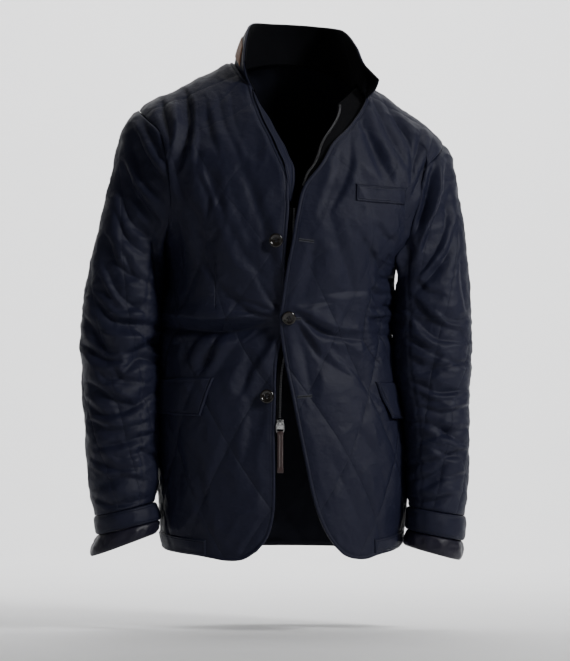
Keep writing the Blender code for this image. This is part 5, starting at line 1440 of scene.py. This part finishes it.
def teeth(name, node, line, top, out, pitch=0.0024):
    """Teeth along a line of (angle, level); top is the height of their middle, out their reach across."""
    fine = trace(line, 400)
    points, normals = form(fine[:, 0], fine[:, 1]), form_normal(fine[:, 0], fine[:, 1])
    lift = top(fine[:, 0], 0.0, points[:, 2])
    points = points + normals * np.broadcast_to(lift, len(points))[:, None]
    length = lengths_along(points)
    bm = bmesh.new()
    for at in np.arange(pitch / 2, length[-1], pitch):
        spot = np.array([np.interp(at, length, points[:, k]) for k in range(3)])
        ahead = np.array([np.interp(at + 0.001, length, points[:, k]) for k in range(3)])
        normal = unit(np.array([np.interp(at, length, normals[:, k]) for k in range(3)]))
        along = unit(ahead - spot)
        across = np.cross(along, normal)
        new = block(bm, (out, 0.0013, 0.0030), (0, 0, 0), 0.0003)
        new += block(bm, (0.0012, 0.0015, 0.0018), (out / 2, 0, 0), 0.0003)
        matrix = Matrix([[across[k], along[k], normal[k], spot[k]] for k in range(3)] + [[0, 0, 0, 1]])
        bmesh.ops.transform(bm, matrix=matrix, verts=list(set(new)))
    made = finished(name, bm, TEETH)
    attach(made, "coat")
    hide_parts(node)
    print(name, len(made.data.polygons), "faces")
    return made


LEFT_TEETH_IN = [(0.0750, -0.0380), (0.0505, -0.0955), (0.0310, -0.1405), (0.0175, -0.1680)]
TEETH_WIDE = 0.0026
teeth(
    "left_teeth", "left_zip_teeth", [place(x + TEETH_WIDE / 2, z) for x, z in LEFT_TEETH_IN],
    lambda angle, s, z: placket_top(angle, s, z) + 0.0010, TEETH_WIDE,
)
TEETH_Z = TAPE_Z[:-1] + (-0.5125,)
TEETH_AT = TAPE_WIDE[:-1] + (0.0049,)
teeth(
    "right_teeth", "zip_teeth", beside_edge([w + 0.0004 + TEETH_WIDE / 2 for w in TEETH_AT], TEETH_Z),
    lambda angle, s, z: -0.0014 + 0 * z, TEETH_WIDE,
)

# %% [markdown]
# ## Buttons
#
# A horn button is turned on a lathe: a rounded rim, a shallow dish and four drilled holes. The profile
# below is spun round its axis, the holes are cut with a Boolean, and the thread is a pair of small bars
# in the dish.

# %% Turned buttons
# Columns: the radius and the height above the button's middle, from the back round the rim to the dish.
BUTTON_PROFILE = [
    (0.0001, -0.0018), (0.0070, -0.0018), (0.0092, -0.0014), (0.0103, -0.0004),
    (0.0105, 0.0004), (0.0100, 0.0013), (0.0090, 0.0018), (0.0080, 0.0018),
    (0.0072, 0.0013), (0.0066, 0.0008), (0.0040, 0.0007), (0.0001, 0.0007),
]
HOLE_RADIUS, HOLE_OFF_CENTRE = 0.0011, 0.0021


def button(name, node, turn):
    low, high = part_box(node)
    centre = (Vector(low) + Vector(high)) / 2
    flat_area = {}
    for face in frame["nodes"][node].data.polygons:
        key = tuple(round(v, 1) for v in face.normal)
        flat_area[key] = flat_area.get(key, 0.0) + face.area
    axis = Vector(max((k for k in flat_area if k[1] < 0), key=lambda k: flat_area[k])).normalized()
    bm = bmesh.new()
    circles, last = 48, len(BUTTON_PROFILE) - 1
    bmesh.ops.create_grid(bm, x_segments=circles, y_segments=last, size=0.5)
    for vert in bm.verts:
        around = (vert.co.x + 0.5) * 2 * math.pi
        radius, high_at = BUTTON_PROFILE[round((vert.co.y + 0.5) * last)]
        vert.co = (radius * math.cos(around), radius * math.sin(around), high_at)
    bmesh.ops.remove_doubles(bm, verts=bm.verts[:], dist=2e-6)
    bmesh.ops.holes_fill(bm, edges=[e for e in bm.edges if e.is_boundary], sides=circles)
    made = finished(name, bm, HORN)
    for step in range(4):
        angle = math.radians(90 * step + 45)
        at = Matrix.Translation((HOLE_OFF_CENTRE * math.cos(angle), HOLE_OFF_CENTRE * math.sin(angle), 0))
        hole_bm = bmesh.new()
        radii = {"radius1": HOLE_RADIUS, "radius2": HOLE_RADIUS}
        bmesh.ops.create_cone(hole_bm, cap_ends=True, segments=16, depth=0.01, matrix=at, **radii)
        hole = finished("hole", hole_bm, HORN)
        modifier = made.modifiers.new("hole", "BOOLEAN")
        modifier.operation, modifier.solver, modifier.object = "DIFFERENCE", "EXACT", hole
        mesh = bpy.data.meshes.new_from_object(made.evaluated_get(bpy.context.evaluated_depsgraph_get()))
        made.modifiers.clear()
        made.data = mesh
        bpy.data.objects.remove(hole, do_unlink=True)
    faced = axis.to_track_quat("Z", "Y").to_matrix().to_4x4()
    placed = Matrix.Translation(centre) @ faced @ Matrix.Rotation(math.radians(turn), 4, "Z")
    made.data.transform(placed)
    bm = bmesh.new()
    for shift in (-0.0015, 0.0015):
        block(bm, (0.0040, 0.0009, 0.0007), (0, shift, 0.0010), 0.0002)
    thread = finished(name + "_thread", bm, THREAD_FINISH)
    thread.data.transform(placed)
    for piece in (made, thread):
        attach(piece, "coat")
    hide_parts(node)
    print(name, [round(v, 3) for v in axis])


THREAD_FINISH = plain_finish(
    "sewing_thread", (0.007, 0.008, 0.014), (0.018, 0.019, 0.028), 0.7, 0.0004, 0.0002
).material
button("top_button_turned", "top_button", 10)
button("middle_button_turned", "middle_button", 30)
button("low_button_turned", "low_button", -15)

# %% [markdown]
# ## Buttonholes
#
# Each buttonhole on the left front is a slit with a close row of raised, lighter thread on both sides of
# it. The slit itself is a row of near-black bars: painted shade of the open cut.

# %% Worked buttonholes
BUTTONHOLE_THREAD = plain_finish(
    "buttonhole_thread", (0.022, 0.024, 0.036), (0.050, 0.054, 0.075), 0.6, 0.0004, 0.0002
).material
# The slit's near-black finish is painted shade, standing for the dark inside of the cut.
SLIT_SHADE_FINISH = plain_finish(
    "buttonhole_slit_shade", (0.0010, 0.0010, 0.0014), (0.0020, 0.0020, 0.0028), 0.9, 0.0004, 0.0001
).material
STITCH_PITCH, ROW_OFF_SLIT = 0.0007, 0.0015
ROW_STITCH, SLIT_SHADE_BAR = (0.00052, 0.0016), (0.00095, 0.0015)  # width and length of one bar


def stitched_row(name, x, z, length, tilt, above, stitch, lift, surface):
    """A row of small raised bars on the left front, one beside the other, along a line through (x, z)."""
    bm = bmesh.new()
    count = int(length / STITCH_PITCH)
    for index in range(count):
        s = (index + 0.5) / count - 0.5
        seen_x = x + s * length * math.cos(tilt)
        seen_z = z + s * length * math.sin(tilt) + above
        angle, level = place(seen_x, seen_z)
        normal = Vector(form_normal([angle], level)[0])
        start = Vector(form([angle], level)[0]) + normal * RAY
        hit = left_tree.ray_cast(start, -normal, 2 * RAY)
        if hit[0] is None:
            continue
        new = block(bm, (stitch[0], 0.0005, stitch[1]), (0, 0, 0), 0.00012)
        spin = normal.to_track_quat("-Y", "Z").to_matrix().to_4x4()
        matrix = Matrix.Translation(hit[0] + normal * lift) @ spin @ Matrix.Rotation(tilt, 4, "Y")
        bmesh.ops.transform(bm, matrix=matrix, verts=new)
    made = finished(name, bm, surface)
    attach(made, "coat")


BUTTONHOLES = {  # x, z, length, tilt
    "top_buttonhole": (0.0240, -0.2490, 0.022, -0.12),
    "middle_buttonhole": (0.0105, -0.3645, 0.010, -0.05),
    "low_buttonhole": (0.0215, -0.4820, 0.022, 0.10),
}
for name, line in BUTTONHOLES.items():
    stitched_row(name + "_upper_row", *line, ROW_OFF_SLIT, ROW_STITCH, 0.0002, BUTTONHOLE_THREAD)
    stitched_row(name + "_lower_row", *line, -ROW_OFF_SLIT, ROW_STITCH, 0.0002, BUTTONHOLE_THREAD)
    # The slit row is painted shade: near-black bars where the cut is open.
    stitched_row(name + "_slit_shade", *line, 0.0, SLIT_SHADE_BAR, 0.0, SLIT_SHADE_FINISH)
print("buttonholes:", len(BUTTONHOLES))

# %% [markdown]
# ## Slider, ring and braided pull
#
# The zip's slider stays where it is shown. Its ring and leather pull hang from it on a hinge, so both
# ride on the body `pull`. The pull is a flat braid: three strands that pass over each other, swept along
# sine paths.

# %% Slider, ring and pull
PIVOT = Vector(next(j for j in frame["joints"] if j["name"] == "pull_swing")["pos_m"])
low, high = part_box("zip_slider")
low, high = Vector(low), Vector(high)
middle = (low + high) / 2
bm = bmesh.new()
body_y = high.y - 0.0033
block(bm, (0.0104, 0.0024, 0.0150), (middle.x, body_y - 0.0020, middle.z), 0.0010)
block(bm, (0.0104, 0.0016, 0.0150), (middle.x, body_y + 0.0022, middle.z), 0.0007)
block(bm, (0.0034, 0.0040, 0.0060), (middle.x + 0.0015, body_y, middle.z + 0.0042), 0.0006)
block(bm, (0.0030, 0.0036, 0.0014), (middle.x, PIVOT.y - 0.0004, PIVOT.z + 0.0026), 0.0005)
block(bm, (0.0030, 0.0036, 0.0014), (middle.x, PIVOT.y - 0.0004, PIVOT.z - 0.0026), 0.0005)
block(bm, (0.0030, 0.0012, 0.0062), (middle.x, PIVOT.y - 0.0018, PIVOT.z), 0.0004)
slider = finished("slider_body", bm, METAL)
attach(slider, "coat")
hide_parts("zip_slider")


def tube(name, path, radius, surface, closed=False, flat=1.0):
    """A round bar along a path of points, made from rings joined by faces."""
    path = [Vector(p) for p in path]
    count, sides = len(path), 10
    bm = bmesh.new()
    bmesh.ops.create_grid(bm, x_segments=sides, y_segments=count if closed else count - 1, size=0.5)
    for vert in bm.verts:
        row = round((vert.co.y + 0.5) * (count if closed else count - 1)) % count
        around = (vert.co.x + 0.5) * 2 * math.pi
        ahead = path[(row + 1) % count] if closed or row + 1 < count else path[row]
        before = path[row - 1] if closed or row > 0 else path[row]
        along = (ahead - before).normalized()
        side = along.cross(Vector((0, 1, 0))).normalized()
        depth = side.cross(along)
        vert.co = path[row] + side * (radius * math.cos(around)) + depth * (radius * flat * math.sin(around))
    bmesh.ops.remove_doubles(bm, verts=bm.verts[:], dist=1e-6)
    if not closed:
        bmesh.ops.holes_fill(bm, edges=[e for e in bm.edges if e.is_boundary], sides=0)
    return finished(name, bm, surface)


RING_WIDE, RING_TALL, BAR = 0.0096, 0.0140, 0.0016
corner_turns = np.linspace(0, 2 * math.pi, 48, endpoint=False)
ring_path = []
for turn in corner_turns:
    across = (RING_WIDE + BAR) / 2 * float(signed_power(math.cos(turn), 0.55))
    drop = -(RING_TALL + BAR) / 2 + (RING_TALL + BAR) / 2 * float(signed_power(math.sin(turn), 0.45))
    ring_path.append(PIVOT + Vector((across, 0, drop)))
ring = tube("pull_ring", ring_path, BAR / 2, METAL, closed=True)
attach(ring, "pull")
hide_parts("zip_pull")

BRAID_TURNS, BRAID_SWAY, BRAID_DEPTH, STRAND_RADIUS = 8.5, 0.0029, 0.0012, 0.0019
strands = []
top_z, bottom_z = PIVOT.z - 0.0145, PIVOT.z - 0.0735
for strand in range(3):
    path = []
    for t in np.linspace(0, 1, 90):
        phase = 2 * math.pi * (t * BRAID_TURNS + strand / 3)
        sway = Vector((BRAID_SWAY * math.sin(phase), BRAID_DEPTH * math.sin(2 * phase), 0))
        path.append(Vector((PIVOT.x, PIVOT.y, top_z + (bottom_z - top_z) * t)) + sway)
    strands.append(tube("strand", path, STRAND_RADIUS, LEATHER, flat=0.75))
bm = bmesh.new()
for piece in strands:
    bm.from_mesh(piece.data)
    bpy.data.objects.remove(piece, do_unlink=True)
block(bm, (0.0096, 0.0044, 0.0060), (PIVOT.x, PIVOT.y, top_z - 0.0018), 0.0010)
block(bm, (0.0096, 0.0044, 0.0075), (PIVOT.x, PIVOT.y, bottom_z + 0.0020), 0.0010)
pull = finished("braided_pull", bm, LEATHER)
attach(pull, "pull")
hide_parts("leather_pull")
print("pull hangs from", [round(v, 4) for v in PIVOT])

# %% [markdown]
# ## Floor, light and camera
#
# A plain pale floor curves up behind the coat. A soft key stands at the upper right, with a weak fill from
# the left, a low light from above and one on the backdrop. The camera stands straight in front, at the photo's
# distance and angle of view.

# %% Studio
def studio():
    bm = bmesh.new()
    bmesh.ops.create_grid(bm, x_segments=2, y_segments=40, size=0.5)
    for vert in bm.verts:
        t = vert.co.y + 0.5
        x = vert.co.x * 14
        if t < 0.5:
            vert.co = (x, -6 + t * 16, FLOOR_Z)
        elif t < 0.75:
            bend = (t - 0.5) / 0.25 * math.pi / 2
            vert.co = (x, 2 + 1.5 * math.sin(bend), FLOOR_Z + 1.5 - 1.5 * math.cos(bend))
        else:
            vert.co = (x, 3.5, FLOOR_Z + 1.5 + (t - 0.75) * 24)
    return finished("floor", bm, FLOOR_FINISH)


FLOOR_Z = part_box("back")[0][2] - 0.12
FLOOR_FINISH = plain_finish("pale_floor", (0.86, 0.86, 0.86), (0.82, 0.82, 0.83), 0.7, 0.05, 0.0).material
floor = studio()


def area_light(name, place_at, look_at, size, power, color=(1, 1, 1)):
    data = bpy.data.lights.new(name, "AREA")
    data.shape, data.size, data.size_y, data.energy, data.color = "RECTANGLE", size[0], size[1], power, color
    lamp = bpy.data.objects.new(name, data)
    lamp.location = place_at
    lamp.rotation_euler = (Vector(look_at) - Vector(place_at)).to_track_quat("-Z", "Y").to_euler()
    bpy.context.scene.collection.objects.link(lamp)
    return lamp


area_light("key", (2.3, -1.8, 1.25), (0.0, 0.0, -0.35), (0.6, 0.9), 96)
area_light("fill", (-2.4, -2.2, 0.3), (0.0, 0.0, -0.35), (1.6, 2.0), 6)
area_light("top", (0.2, 0.5, 2.3), (0.0, 0.0, -0.30), (1.6, 1.2), 9)
area_light("backdrop", (0.0, 0.9, 2.2), (0.0, 3.5, 0.9), (4.0, 1.0), 260)
world = bpy.data.worlds.new("studio")
bpy.context.scene.world = world
world.use_nodes = True
world.node_tree.nodes["Background"].inputs["Color"].default_value = (0.96, 0.97, 1.0, 1.0)
world.node_tree.nodes["Background"].inputs["Strength"].default_value = 0.07

camera_data = bpy.data.cameras.new("camera")
camera = bpy.data.objects.new("camera", camera_data)
bpy.context.scene.collection.objects.link(camera)
camera.location = (-0.0075, -7.0, -0.383)
camera.rotation_euler = (math.radians(90), 0, 0)
camera_data.lens, camera_data.sensor_width = 250.9, 36
bpy.context.scene.camera = camera
